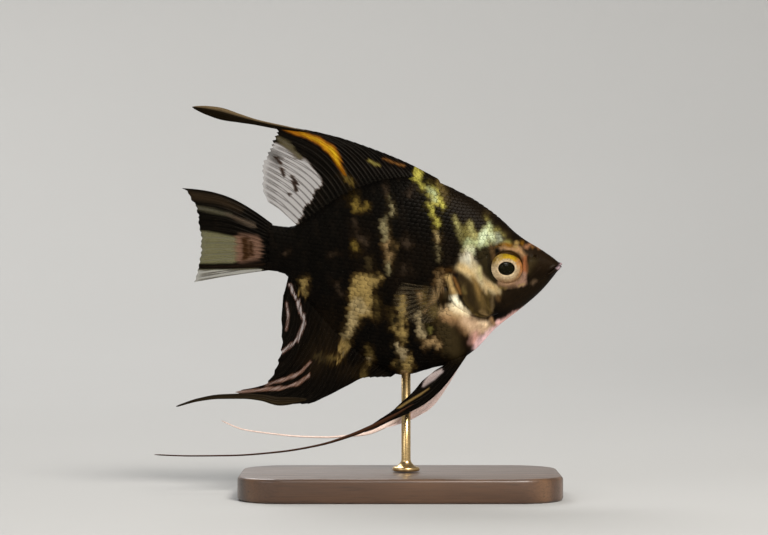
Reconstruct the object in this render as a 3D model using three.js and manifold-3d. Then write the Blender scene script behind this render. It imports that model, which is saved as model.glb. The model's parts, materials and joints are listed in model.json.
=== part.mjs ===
// Marble angelfish (Pterophyllum scalare): a still, life-size model of a grown fish with its fins
// half folded, carried by one thin rod on a plain flat base.
//
// Millimetres, +Z up. The fish faces +X, nose a little down, and its right flank faces -Y. The
// origin is the middle of the base's underside. Heights and places along the fish are in that frame.
// Every piece is one closed solid, and neighbours meet face to face across GAP.
import * as THREE from "three";
import { mergeVertices } from "three/addons/utils/BufferGeometryUtils.js";
import Module from "manifold-3d";

const wasm = await Module();
wasm.setup();

// ------------------------------------------------------------------ driving dimensions
const GAP = 0.3; // between two solids that touch on the real fish
const SLIVER = 0.015; // facets narrower than this are merged into their neighbours
const STANDARD_LENGTH = 73; // snout to the end of the tail stalk
const SNOUT_X = 40;
const TAIL_BASE_X = SNOUT_X - STANDARD_LENGTH;
const STALK_X = -26.5; // where the tail stalk is named apart from the trunk
const MEMBRANE_HALF = 0.27; // half the thickness of a fin's membrane at its margin
const ROOT_HALF = 0.62; // half the thickness of a fin at its fleshy root
const RAY_RISE = 0.2; // how far a ray stands out of the membrane, on each face
const ROOT_SINK = 1.1; // how deep a fin starts inside the body before it is trimmed to it

// forward is the eye's turn towards the snout in degrees, proud how far its edge stands out of the
// skin, rim the thickness of the soft ring of skin round it, and ringSunk how deep that ring sits.
const EYE = {
  x: 26.5, z: 57.1, radius: 3.9, dome: 1.15, depth: 3.1, forward: 10, proud: 0.2, rim: 0.5,
  ringSunk: 0.12,
};
const SOCKET_REACH = 2.5; // how far the cutter of a socket stands out of the head
const NOSTRIL = { x: 33.6, z: 59.9, radius: 0.55, out: 0.1 };
const CUT = { low: 20, high: 90, side: 20, past: 10 }; // blocks that part the body reach this far

const BASE = { length: 80, width: 46, height: 6, corner: 12, edge: 0.9 };
const ROD = { x: 1.5, radius: 1.15, footRadius: 3.4, footHeight: 1.4 };

// ------------------------------------------------------------------ small helpers
const clamp = (v, low, high) => Math.min(high, Math.max(low, v));
const lerp = (a, b, t) => a + (b - a) * t;
const smooth = (t) => {
  const c = clamp(t, 0, 1);
  return c * c * (3 - 2 * c);
};
const radians = (degrees) => (degrees * Math.PI) / 180;

// A smooth function through [x, value] pairs that never overshoots them: monotone cubic pieces.
function through(...pairs) {
  const span = pairs.slice(1).map(([x], i) => x - pairs[i][0]);
  const chord = pairs.slice(1).map(([, y], i) => (y - pairs[i][1]) / span[i]);
  const slope = pairs.map((_, i) => {
    if (i === 0) return chord[0];
    if (i === chord.length) return chord[i - 1];
    const [before, after] = [chord[i - 1], chord[i]];
    return before * after <= 0 ? 0 : (2 * before * after) / (before + after);
  });
  return (x) => {
    const found = span.findIndex((_, k) => x <= pairs[k + 1][0]);
    const i = found < 0 ? span.length - 1 : found;
    const t = clamp((x - pairs[i][0]) / span[i], 0, 1);
    const u = 1 - t;
    const ends = pairs[i][1] * (1 + 2 * t) * u * u + pairs[i + 1][1] * (3 - 2 * t) * t * t;
    return ends + span[i] * t * u * (slope[i] * u - slope[i + 1] * t);
  };
}

// A three.js geometry as a manifold solid, turned so that its faces point out.
function solid(geometry) {
  const bare = geometry.clone();
  bare.deleteAttribute("normal");
  bare.deleteAttribute("uv");
  const merged = mergeVertices(bare, 1e-4);
  const triVerts = new Uint32Array(merged.index.array);
  const vertProperties = new Float32Array(merged.attributes.position.array);
  const made = new wasm.Manifold(new wasm.Mesh({ numProp: 3, vertProperties, triVerts }));
  if (made.volume() > 0) return made;
  for (let i = 0; i < triVerts.length; i += 3)
    [triVerts[i + 1], triVerts[i + 2]] = [triVerts[i + 2], triVerts[i + 1]];
  return new wasm.Manifold(new wasm.Mesh({ numProp: 3, vertProperties, triVerts }));
}

// The largest closed surface of a solid, as three.js geometry, without slivers left by cutting.
function geometryOf(made) {
  const kept = made.decompose().reduce((a, b) => (b.volume() > a.volume() ? b : a));
  const mesh = kept.asOriginal().simplify(SLIVER).getMesh();
  const position = new Float32Array(mesh.numVert * 3);
  for (let i = 0; i < mesh.numVert; i++)
    for (let k = 0; k < 3; k++)
      position[3 * i + k] = mesh.vertProperties[mesh.numProp * i + k];
  return new THREE.BufferGeometry()
    .setAttribute("position", new THREE.BufferAttribute(position, 3))
    .setIndex(new THREE.BufferAttribute(new Uint32Array(mesh.triVerts), 1));
}

function indexed(points, faces) {
  const position = new Float32Array(points.flatMap((p) => [p.x, p.y, p.z]));
  return new THREE.BufferGeometry()
    .setAttribute("position", new THREE.BufferAttribute(position, 3))
    .setIndex(faces.flat());
}

// A closed skin over rings with the same number of points, its two ends fanned to their middles.
function loft(rings) {
  const sides = rings[0].length;
  const points = rings.flat();
  const faces = [];
  for (let r = 0; r + 1 < rings.length; r++)
    for (let k = 0; k < sides; k++) {
      const [a, b] = [r * sides + k, r * sides + ((k + 1) % sides)];
      faces.push([a, b, b + sides], [a, b + sides, a + sides]);
    }
  for (const [first, flip] of [[0, true], [(rings.length - 1) * sides, false]]) {
    const ring = points.slice(first, first + sides);
    const middle = ring.reduce((sum, p) => sum.add(p), new THREE.Vector3());
    points.push(middle.divideScalar(sides));
    for (let k = 0; k < sides; k++) {
      const [a, b] = [first + k, first + ((k + 1) % sides)];
      faces.push(flip ? [b, a, points.length - 1] : [a, b, points.length - 1]);
    }
  }
  return solid(indexed(points, faces));
}

// A tube of oval section along a path: high in the fish's mid-plane, thick along Y.
function strand(path, steps, sides, halfHigh, halfThick) {
  const curve = new THREE.CatmullRomCurve3(path.map((p) => new THREE.Vector3(...p)));
  const across = new THREE.Vector3(0, 1, 0);
  const rings = [];
  for (let i = 0; i <= steps; i++) {
    const t = i / steps;
    const centre = curve.getPointAt(t);
    const along = curve.getTangentAt(t);
    const side = across.clone().addScaledVector(along, -across.dot(along)).normalize();
    const up = new THREE.Vector3().crossVectors(along, side);
    rings.push(
      Array.from({ length: sides }, (_, k) => {
        const turn = (2 * Math.PI * k) / sides;
        return centre
          .clone()
          .addScaledVector(up, halfHigh(t) * Math.sin(turn))
          .addScaledVector(side, halfThick(t) * Math.cos(turn));
      }),
    );
  }
  return loft(rings);
}

// A block whose outline is drawn in side view, [x, z], and which reaches from one y to another.
function prism(outline, yFrom, yTo) {
  const shape = new THREE.Shape(outline.map(([x, z]) => new THREE.Vector2(x, z)));
  const block = new THREE.ExtrudeGeometry(shape, { depth: yTo - yFrom, bevelEnabled: false });
  return solid(block.rotateX(Math.PI / 2).translate(0, yTo, 0));
}

// A closed plate over a grid of columns and rows. middle gives the plate's mid-surface, half its
// half thickness along the unit vector across. Both faces are split into triangles alike.
function plate(columns, rows, middle, half, across) {
  const points = [];
  for (const side of [1, -1])
    for (let c = 0; c < columns; c++)
      for (let r = 0; r < rows; r++)
        points.push(middle(c, r).addScaledVector(across, side * half(c, r)));
  const id = (side, c, r) => (side * columns + c) * rows + r;
  const faces = [];
  for (let c = 0; c + 1 < columns; c++)
    for (let r = 0; r + 1 < rows; r++) {
      const corner = (side) => [
        id(side, c, r),
        id(side, c + 1, r),
        id(side, c + 1, r + 1),
        id(side, c, r + 1),
      ];
      const [a, b, d, e] = corner(0);
      const [f, g, h, i] = corner(1);
      faces.push([a, b, d], [a, d, e], [f, h, g], [f, i, h]);
    }
  const rim = [];
  for (let c = 0; c < columns; c++) rim.push([c, 0]);
  for (let r = 1; r < rows; r++) rim.push([columns - 1, r]);
  for (let c = columns - 2; c >= 0; c--) rim.push([c, rows - 1]);
  for (let r = rows - 2; r > 0; r--) rim.push([0, r]);
  rim.forEach(([c, r], i) => {
    const [c2, r2] = rim[(i + 1) % rim.length];
    const [a, b, d, e] = [id(0, c, r), id(0, c2, r2), id(1, c2, r2), id(1, c, r)];
    faces.push([b, a, e], [b, e, d]);
  });
  return solid(indexed(points, faces));
}

// ------------------------------------------------------------------ the body's own surface
// Heights of the back and the belly, of the line of greatest width, and half the width, along X.
const backHeight = through(
  [-33, 67.9], [-27.5, 67.4], [-22, 70.7], [-13.5, 76], [-4, 79.4], [1.3, 80], [7, 79.4],
  [15, 76.2], [23.8, 70.6], [28.8, 65.9], [31.5, 63.9], [35, 61.8], [38.6, 59.3], [40, 58.1],
);
const bellyHeight = through(
  [-33, 56.2], [-29.5, 55.7], [-27.5, 54.2], [-22, 47.2], [-13.5, 38.2], [-6, 32.4], [1, 30.1],
  [8, 31.8], [13, 33], [18.5, 36.4], [24.2, 42.2], [30.5, 47.1], [35, 51], [38.4, 54.9], [40, 57.2],
);
const axisHeight = through([-33, 62], [-16, 59.5], [0, 57], [14, 55.5], [27, 56.6], [40, 57.6]);
const halfWidth = through(
  [-33, 1.35], [-26.5, 2.2], [-16, 3.7], [-6, 5], [3, 5.8], [12, 6.2], [20, 5.95], [26.5, 5.2],
  [32, 4], [36, 2.9], [38.7, 1.9], [40, 0.9],
);
const FLANK_POWER = 1.12; // above 1 the back and belly come to a keel
const BODY_RINGS = 36;
const BODY_SIDES = 36;
const LEAST_HALF_WIDTH = 0.25;

// How far the flank stands from the mid-plane at a place seen from the side.
function flank(x, z) {
  const axis = axisHeight(x);
  const reach = z > axis ? backHeight(x) - axis : axis - bellyHeight(x);
  const lift = clamp((z - axis) / reach, -1, 1);
  return halfWidth(x) * Math.sqrt(1 - lift * lift) ** FLANK_POWER;
}

// The whole body from snout to tail base, grown outwards by a distance, or shrunk if negative.
function bodyGrownBy(grow) {
  const rings = [];
  for (let i = 0; i <= BODY_RINGS; i++) {
    const place = 1 - (1 - i / BODY_RINGS) ** 1.3; // rings lie closer together at the snout
    const x = lerp(TAIL_BASE_X, SNOUT_X, place);
    const axis = axisHeight(x);
    const [up, down] = [backHeight(x) - axis + grow, axis - bellyHeight(x) + grow];
    const wide = Math.max(halfWidth(x) + grow, LEAST_HALF_WIDTH);
    const beyond = (i === 0 ? -1 : i === BODY_RINGS ? 1 : 0) * grow;
    rings.push(
      Array.from({ length: BODY_SIDES }, (_, k) => {
        const turn = (2 * Math.PI * k) / BODY_SIDES;
        const [c, s] = [Math.cos(turn), Math.sin(turn)];
        const y = wide * Math.sign(c) * Math.abs(c) ** FLANK_POWER;
        return new THREE.Vector3(x + beyond, y, axis + (s > 0 ? up : down) * s);
      }),
    );
  }
  return loft(rings);
}

const body = bodyGrownBy(0);
const clearance = bodyGrownBy(GAP); // what grows from the body is trimmed to this

// The rear margin of the gill covers, where the head ends: x at each height.
const gillMargin = through(
  [30, 20.4], [36, 20], [41, 18.4], [46, 15], [51, 12.6], [57, 12], [64, 13.2], [80, 17],
);
const MARGIN_STEPS = 22;

// Everything in front of a line down the fish (direction 1) or behind it (-1), as a block that
// keeps half a gap to it. line gives x at each height.
function sideOf(line, steps, direction) {
  const { low, high, side, past } = CUT;
  const far = direction > 0 ? SNOUT_X + past : TAIL_BASE_X - past;
  const edge = Array.from({ length: steps + 1 }, (_, i) => {
    const z = lerp(low, high, i / steps);
    return [line(z) + (direction * GAP) / 2, z];
  });
  return prism([...edge, [far, high], [far, low]], -side, side);
}
const beforeGills = sideOf(gillMargin, MARGIN_STEPS, 1);
const behindGills = sideOf(gillMargin, MARGIN_STEPS, -1);

// ------------------------------------------------------------------ head
const SIDES = [
  { name: "right", sign: -1 },
  { name: "left", sign: 1 },
];

// The eyeball, or its socket when grown, as a lathe round Y, then set in the head's side.
function eyeShape(sign, grow) {
  const { radius, depth, dome } = EYE;
  const edge = radius + grow;
  const back = [
    [0, -depth - grow],
    [0.66 * radius, -0.84 * depth - grow],
    [0.91 * radius + grow, -0.4 * depth - grow],
    [edge, 0],
  ];
  const lens = [
    [0.93 * radius, 0.38 * dome],
    [0.74 * radius, 0.7 * dome],
    [0.44 * radius, 0.93 * dome],
    [0, dome],
  ];
  const shaft = [[edge, SOCKET_REACH], [0, SOCKET_REACH]];
  const profile = [...back, ...(grow ? shaft : lens)].map(([r, y]) => new THREE.Vector2(r, y));
  const ball = new THREE.LatheGeometry(profile, 26);
  ball.rotateZ(sign > 0 ? 0 : Math.PI);
  ball.rotateZ(-sign * radians(EYE.forward));
  ball.translate(EYE.x, sign * (flank(EYE.x, EYE.z) + EYE.proud), EYE.z);
  return solid(ball);
}

// The skin stands up in a soft ring round the eye.
function eyeRim(sign) {
  const ring = new THREE.TorusGeometry(EYE.radius + GAP, EYE.rim, 6, 30);
  ring.rotateX(Math.PI / 2);
  ring.rotateZ(-sign * radians(EYE.forward));
  ring.translate(EYE.x, sign * (flank(EYE.x, EYE.z) - EYE.ringSunk), EYE.z);
  return solid(ring);
}

// A lip is a U of flesh from one corner of the mouth round the front to the other: front is its
// foremost place and cheek a place half way back, [x, z].
const MOUTH_CORNER = { x: 37.2, y: 1.85, z: 55.9 };
const UPPER_LIP = { front: [39.8, 58.2], cheek: [38.9, 57.5] };
const LOWER_LIP = { front: [39.3, 56.75], cheek: [38.5, 56.15] };
function lip({ front, cheek }) {
  const { x, y, z } = MOUTH_CORNER;
  const half = [[x, y, z], [cheek[0], 0.66 * y, cheek[1]]];
  const mirrored = half.map(([px, py, pz]) => [px, -py, pz]).reverse();
  const thick = (t) => 0.35 + 0.32 * Math.sin(Math.PI * t);
  return strand([...half, [front[0], 0, front[1]], ...mirrored], 16, 8, thick, thick);
}

// The line of the mouth: a thin wedge across the snout, wider at the front.
const MOUTH_LINE = [[41.5, 57.85], [41.5, 57.3], [37.5, 55.95], [37.4, 56.15]];

function nostril(sign) {
  const { x, z, radius, out } = NOSTRIL;
  const pit = new THREE.SphereGeometry(radius, 8, 6);
  return solid(pit.translate(x, sign * (flank(x, z) + out), z));
}

// The outline of a gill cover in side view, grown by a distance: a smooth edge from the margin
// over the top, down the front and back along the bottom. The gill margin trims its rear.
const GILL_EDGE = new THREE.SplineCurve(
  [
    [7, 62.6], [13, 62.7], [17.4, 62], [19.9, 59.2], [20.9, 55], [22.2, 51], [23.9, 47.4],
    [23.6, 44.7], [20.4, 43.9], [14, 45.6], [7, 46.5],
  ].map(([x, z]) => new THREE.Vector2(x, z)),
);
function gillOutline(grow) {
  const steps = 30;
  return Array.from({ length: steps + 1 }, (_, i) => {
    const at = GILL_EDGE.getPoint(i / steps);
    const along = GILL_EDGE.getTangent(i / steps);
    return [at.x - along.y * grow, at.y + along.x * grow];
  });
}

// The outline as a block on one side of the fish, clear of the mid-plane.
function gillBlock(sign, grow) {
  const [near, far] = [1, CUT.side];
  return prism(gillOutline(grow), sign > 0 ? near : -far, sign > 0 ? far : -near);
}

const PLATE_RAISED = 0.4;
const PLATE_THICK = 1.3;
function gillCover(sign) {
  const shell = bodyGrownBy(PLATE_RAISED).subtract(bodyGrownBy(PLATE_RAISED - PLATE_THICK));
  return shell.intersect(gillBlock(sign, 0)).intersect(beforeGills);
}

function gillRecess(sign) {
  return gillBlock(sign, GAP).subtract(bodyGrownBy(PLATE_RAISED - PLATE_THICK - GAP));
}

function head() {
  let made = body.intersect(beforeGills).add(lip(UPPER_LIP)).add(lip(LOWER_LIP));
  for (const { sign } of SIDES) made = made.add(eyeRim(sign));
  made = made.subtract(prism(MOUTH_LINE, -CUT.side, CUT.side));
  for (const { sign } of SIDES)
    for (const cutter of [eyeShape(sign, GAP), nostril(sign), gillRecess(sign)])
      made = made.subtract(cutter);
  return made;
}

// ------------------------------------------------------------------ trunk and tail stalk
// The fleshy root that each pectoral fin grows from: an oval pad, half its size along, across and
// up given by pad, its middle a little behind the fin's own root and sunk into the flank.
const PECTORAL = {
  x: 11.2, z: 49.6, high: 4.6, reach: 14.5, swing: 24, pad: [1.7, 1.15, 2.75], padBack: 0.6,
  padSunk: 0.35,
};
function finPad(sign, grow) {
  const { x, z, pad, padBack, padSunk } = PECTORAL;
  const ball = new THREE.SphereGeometry(1, 14, 10);
  ball.scale(...pad.map((half) => half + grow));
  return solid(ball.translate(x - padBack, sign * (flank(x, z) - padSunk), z));
}

const stalkLine = () => STALK_X;
function trunk() {
  const pads = SIDES.map(({ sign }) => finPad(sign, 0));
  return pads
    .reduce((made, pad) => made.add(pad), body)
    .intersect(behindGills)
    .intersect(sideOf(stalkLine, 1, 1));
}

function tailStalk() {
  return body.intersect(sideOf(stalkLine, 1, -1));
}

// ------------------------------------------------------------------ fins: fans of bent rays
// Each station of a fan is one ray: how far along the fin's root it starts, where its tip is
// (x, z), and the directions in which it leaves the body and arrives at its tip, in degrees from
// +X. Rays between two stations are blended.
function fan(stations) {
  const column = (k) => through(...stations.map((s) => [s[0], s[k]]));
  const [tipX, tipZ, leave, arrive] = [1, 2, 3, 4].map(column);
  return (s) => ({
    tip: new THREE.Vector2(tipX(s), tipZ(s)),
    leave: radians(leave(s)),
    arrive: radians(arrive(s)),
  });
}

// A point on a ray, from its root at t = 0 to its tip at t = 1: a cubic arc. bow says how far
// along it the arc keeps to the two directions, as a share of its length.
function rayPoint(root, { tip, leave, arrive }, bow, t) {
  const reach = bow * root.distanceTo(tip);
  const out = new THREE.Vector2(Math.cos(leave), Math.sin(leave)).multiplyScalar(reach).add(root);
  const back = new THREE.Vector2(Math.cos(arrive), Math.sin(arrive)).multiplyScalar(-reach).add(tip);
  return new THREE.CubicBezierCurve(root, out, back, tip).getPoint(t);
}

// A whole fin: rays as ridges with membrane between them, and a margin cut in between the tips.
// place sets a point of the fan, [x, z] in its own plane, into the fish.
function rayedFin({ rays, rows, ray, root, place, across, notch, thin = 1, bow = 0.42 }) {
  const columns = 2 * rays - 1;
  const isRay = (c) => c % 2 === 0;
  const middle = (c, r) => {
    const s = c / (columns - 1);
    const end = isRay(c) ? 1 : 1 - notch(s);
    const t = (end * r) / (rows - 1);
    const p = rayPoint(root(s), ray(s), bow, t);
    return place(p, s, t);
  };
  const half = (c, r) => {
    const t = r / (rows - 1);
    const web = lerp(ROOT_HALF * thin, MEMBRANE_HALF, smooth(t / 0.45));
    return web + (isRay(c) ? RAY_RISE * (1 - t) ** 0.5 : 0);
  };
  return plate(columns, rows, middle, half, across);
}

// A drawn-out ray starts inside its fin, thickens where it leaves it and thins to its end.
const streamerHalf = through([0, 0.16], [0.06, 0.5], [0.3, 0.42], [1, 0.25]);

const ACROSS = new THREE.Vector3(0, 1, 0);
const inMidPlane = (lean) => (p, s, t) => new THREE.Vector3(p.x, lean(s, t), p.y);

// Dorsal fin: short spines swept back along its front edge, then the long soft rays.
const DORSAL = {
  front: 10.75,
  rear: -25.2,
  rays: fan([
    [0, 9, 79.6, 128, 152],
    [0.12, 1, 83.7, 126, 152],
    [0.26, -8, 87.3, 126, 154],
    [0.38, -16.3, 90, 124, 158],
    [0.48, -25.8, 92, 122, 164],
    [0.56, -31.2, 92.5, 120, 168],
    [0.62, -31, 91.2, 118, 164],
    [0.7, -32.2, 88.4, 118, 158],
    [0.79, -33.6, 85.4, 122, 154],
    [0.88, -34.6, 81.6, 128, 152],
    [0.95, -34.6, 77.6, 134, 150],
    [1, -33.2, 73.6, 140, 150],
  ]),
};
const dorsalLean = (s, t) => 0.9 * t * t * smooth((s - 0.2) / 0.4);
const DORSAL_STREAMER = [
  [-24, 0.7, 90.3], [-31.4, 1, 92.5], [-36.5, 1.2, 93.7], [-41.5, 1.5, 94.9], [-46.2, 1.9, 96.2],
  [-52.2, 2.4, 97.6],
];

function dorsalFin() {
  const root = (s) => {
    const x = lerp(DORSAL.front, DORSAL.rear, s);
    return new THREE.Vector2(x, backHeight(x) - ROOT_SINK);
  };
  const fin = rayedFin({
    rays: 24,
    rows: 9,
    ray: DORSAL.rays,
    root,
    place: inMidPlane(dorsalLean),
    across: ACROSS,
    notch: (s) => lerp(0.16, 0.03, smooth((s - 0.3) / 0.2)),
  });
  const high = through([0, 0.3], [0.2, 0.75], [0.5, 0.62], [0.72, 1.35], [0.85, 1.3], [1, 0.5]);
  const streamer = strand(DORSAL_STREAMER, 18, 8, high, streamerHalf);
  return fin.add(streamer).subtract(clearance);
}

// Anal fin: the same plan turned downwards, with its long rays drawn out behind.
const ANAL = {
  front: -0.4,
  rear: -27.7,
  rays: fan([
    [0, -2.4, 29.7, 226, 206],
    [0.12, -8.6, 29.5, 226, 206],
    [0.24, -14.3, 27, 228, 204],
    [0.36, -19.3, 24.5, 232, 202],
    [0.47, -24, 22.9, 238, 198],
    [0.56, -30.2, 23.1, 244, 188],
    [0.64, -38, 24.6, 250, 182],
    [0.71, -41.3, 26, 252, 182],
    [0.79, -33.8, 28, 252, 194],
    [0.86, -30.8, 33.2, 252, 214],
    [0.92, -29.7, 38, 252, 232],
    [0.97, -29.7, 44.4, 252, 244],
    [1, -29.2, 50, 252, 250],
  ]),
};
const analLean = (s, t) => -1.1 * t * t * smooth((s - 0.2) / 0.4);
const ANAL_STREAMER = [
  [-23, -0.6, 24.2], [-30, -0.9, 23.7], [-34.5, -1.1, 24.6], [-39, -1.4, 25], [-45, -1.9, 24.9],
  [-50, -2.4, 24.2], [-55.8, -3, 22.5],
];

function analFin() {
  const root = (s) => {
    const x = lerp(ANAL.front, ANAL.rear, s);
    return new THREE.Vector2(x, bellyHeight(x) + ROOT_SINK);
  };
  const fin = rayedFin({
    rays: 22,
    rows: 9,
    ray: ANAL.rays,
    root,
    place: inMidPlane(analLean),
    across: ACROSS,
    notch: (s) => lerp(0.14, 0.03, smooth((s - 0.3) / 0.2)),
  });
  const high = through([0, 0.3], [0.2, 1.2], [0.4, 0.62], [0.65, 0.5], [1, 0.25]);
  const streamer = strand(ANAL_STREAMER, 20, 8, high, streamerHalf);
  return fin.add(streamer).subtract(clearance);
}

// Tail fin: a fan between two corners, the upper one drawn out. hollow is how far its rear edge
// lies inside the straight line between them, from the upper corner down.
const TAIL = {
  upperTip: new THREE.Vector2(-54.8, 77),
  lowerTip: new THREE.Vector2(-51.8, 53.4),
  hollow: through([0, 0], [0.1, 1.8], [0.25, 3.2], [0.5, 3.2], [0.75, 2.2], [1, 0]),
};
function tailFin() {
  const { upperTip, lowerTip, hollow } = TAIL;
  const root = (s) => {
    const [high, low] = [backHeight(TAIL_BASE_X) + 0.1, bellyHeight(TAIL_BASE_X) + 0.3];
    return new THREE.Vector2(TAIL_BASE_X + ROOT_SINK, lerp(high, low, s));
  };
  const ray = (s) => {
    const tip = upperTip.clone().lerp(lowerTip, s).add(new THREE.Vector2(hollow(s), 0));
    const leave = radians(lerp(143, 187, s));
    return { tip, leave, arrive: radians(lerp(177, 190, s)) };
  };
  const lean = (s, t) => 1.3 * t * t;
  const fin = rayedFin({
    rays: 15,
    rows: 8,
    ray,
    root,
    place: inMidPlane(lean),
    across: ACROSS,
    notch: () => 0.03,
  });
  return fin.subtract(clearance);
}

// Pectoral fins: clear paddles folded back, standing off the flank by their swing.
function pectoralFin(sign) {
  const { x, z, high, reach, swing } = PECTORAL;
  const [back, aside] = [Math.cos(radians(swing)), Math.sin(radians(swing))];
  const start = flank(x, z) - 0.7;
  const root = (s) => new THREE.Vector2(0, lerp(high / 2, -high / 2, s));
  const length = through([0, 0.86], [0.3, 1], [0.65, 0.78], [1, 0.42]);
  const ray = (s) => {
    const heading = radians(lerp(12, -52, s));
    const out = new THREE.Vector2(Math.cos(heading), Math.sin(heading));
    const tip = out.multiplyScalar(reach * length(s)).addScaledVector(root(s), 0.6);
    return { tip, leave: heading * 0.7, arrive: heading };
  };
  return rayedFin({
    rays: 9,
    rows: 7,
    ray,
    root,
    place: (p) => new THREE.Vector3(x - p.x * back, sign * (start + p.x * aside), z + p.y),
    across: new THREE.Vector3(aside, sign * back, 0),
    notch: () => 0.04,
    thin: 0.7,
  })
    .subtract(clearance)
    .subtract(finPad(sign, GAP));
}

// Pelvic fins: a narrow blade on a spine, a small inner web, and one ray drawn out as a feeler.
const PELVIC = {
  rootFront: [16.8, 35.4],
  rootRear: [11.6, 33.4],
  blade: [
    [0, -7, 17.6, 237, 199],
    [0.2, -12.5, 15.3, 237, 200],
    [0.4, -5.5, 19.3, 235, 202],
    [0.6, 0.5, 23.8, 234, 206],
    [0.8, 5.5, 28.9, 231, 210],
    [1, 8.6, 31.4, 224, 212],
  ],
};
const FEELER = {
  right: [
    [4, 23.6], [-4, 19], [-12.5, 15.3], [-20, 13], [-30, 11.3], [-42, 10.4], [-52, 10.3],
    [-61.2, 10.6],
  ],
  left: [
    [4, 21.8], [-3, 17.6], [-9, 15.2], [-13.8, 14.7], [-18, 14.4], [-25, 14.6], [-33, 15.4],
    [-39.5, 16.4], [-45, 18.6],
  ],
};
// The left blade hangs a little lower than the right one. Both stand apart towards their tips.
const bladeDrop = {
  right: () => 0,
  left: (t) => 2 * smooth(t / 0.5) - 0.8 * smooth((t - 0.5) / 0.5),
};
const pelvicSplay = (x) => 1.35 + 2.7 * smooth((14 - x) / 16);

function pelvicFin({ name, sign }) {
  const drop = bladeDrop[name];
  const root = (s) => {
    const [front, rear] = [PELVIC.rootFront, PELVIC.rootRear];
    return new THREE.Vector2(lerp(front[0], rear[0], s), lerp(front[1], rear[1], s));
  };
  const fin = rayedFin({
    rays: 6,
    rows: 12,
    ray: fan(PELVIC.blade),
    root,
    place: (p, s, t) => new THREE.Vector3(p.x, sign * pelvicSplay(p.x), p.y - drop(t)),
    across: ACROSS,
    notch: () => 0.04,
    thin: 0.85,
    bow: 0.48,
  });
  const path = FEELER[name].map(([x, z]) => [x, sign * pelvicSplay(x), z]);
  const high = through([0, 0.3], [0.15, 0.6], [0.4, 0.3], [1, 0.25]);
  const feeler = strand(path, 30, 6, high, streamerHalf);
  return fin.add(feeler).subtract(clearance);
}

// ------------------------------------------------------------------ stand
function standBase() {
  const { length, width, height, corner, edge } = BASE;
  const [halfL, halfW] = [length / 2 - edge, width / 2 - edge];
  const r = corner - edge;
  const outline = new THREE.Shape()
    .absarc(halfL - r, halfW - r, r, 0, Math.PI / 2)
    .absarc(r - halfL, halfW - r, r, Math.PI / 2, Math.PI)
    .absarc(r - halfL, r - halfW, r, Math.PI, 1.5 * Math.PI)
    .absarc(halfL - r, r - halfW, r, 1.5 * Math.PI, 2 * Math.PI);
  const slab = new THREE.ExtrudeGeometry(outline, {
    depth: height - 2 * edge,
    bevelThickness: edge,
    bevelSize: edge,
    bevelSegments: 2,
    curveSegments: 6,
  });
  return solid(slab.translate(0, 0, edge));
}

function standRod() {
  const { x, radius, footRadius, footHeight } = ROD;
  const bottom = BASE.height + GAP;
  const top = bellyHeight(x) + 2;
  const profile = [
    [0, bottom], [footRadius, bottom], [footRadius, bottom + 0.6 * footHeight],
    [footRadius - 0.6, bottom + footHeight], [radius + 0.7, bottom + footHeight + 0.2],
    [radius, bottom + footHeight + 1], [radius, top], [0, top],
  ].map(([r, z]) => new THREE.Vector2(r, z));
  const rod = new THREE.LatheGeometry(profile, 24).rotateX(Math.PI / 2).translate(x, 0, 0);
  return solid(rod).subtract(clearance);
}

// ------------------------------------------------------------------ materials and assembly
const finish = (color, roughness, metalness = 0) =>
  new THREE.MeshStandardMaterial({ color, roughness, metalness });
const MARBLED_SKIN = finish(0x2a2620, 0.45);
const GILL_SKIN = finish(0x4a4536, 0.42);
const FIN_WEB = finish(0x2c2823, 0.5);
const CLEAR_WEB = finish(0xb9b7a4, 0.4);
const EYEBALL = finish(0xd8c79a, 0.15);
const STAND_WOOD = finish(0x4b3222, 0.45);
const STAND_METAL = finish(0xb9b2a2, 0.3, 1);

const fish = new THREE.Group();

function add(name, made, material) {
  const mesh = new THREE.Mesh(geometryOf(made), material);
  mesh.name = name;
  fish.add(mesh);
}

add("head", head(), MARBLED_SKIN);
add("trunk", trunk(), MARBLED_SKIN);
add("tail_stalk", tailStalk(), MARBLED_SKIN);
add("dorsal_fin", dorsalFin(), FIN_WEB);
add("anal_fin", analFin(), FIN_WEB);
add("tail_fin", tailFin(), FIN_WEB);
for (const side of SIDES) {
  add(`eye_${side.name}`, eyeShape(side.sign, 0), EYEBALL);
  add(`gill_cover_${side.name}`, gillCover(side.sign), GILL_SKIN);
  add(`pectoral_fin_${side.name}`, pectoralFin(side.sign), CLEAR_WEB);
  add(`pelvic_fin_${side.name}`, pelvicFin(side), FIN_WEB);
}
add("stand_base", standBase(), STAND_WOOD);
add("stand_rod", standRod(), STAND_METAL);

export default fish;
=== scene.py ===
# %% [markdown]
# # A marble angelfish on a display stand
#
# The real animal is a freshwater angelfish as tall as it is long and hardly thicker than a
# finger. A museum would cast the body in one piece, set the fins into it as thin sheets, give
# it glass eyes and carry it on a rod. This scene is made in the same order: the body's shape
# first, then the one skin, the scales, the gill covers, the fins, the eyes, and last the stand
# and the studio.
#
# The measured model is loaded as a fixed frame. Every piece below lies where that frame says,
# so nothing has to be fitted afterwards. All sizes here are in millimetres, and MM turns them
# to metres.

# %% Load the frame
import json

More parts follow.
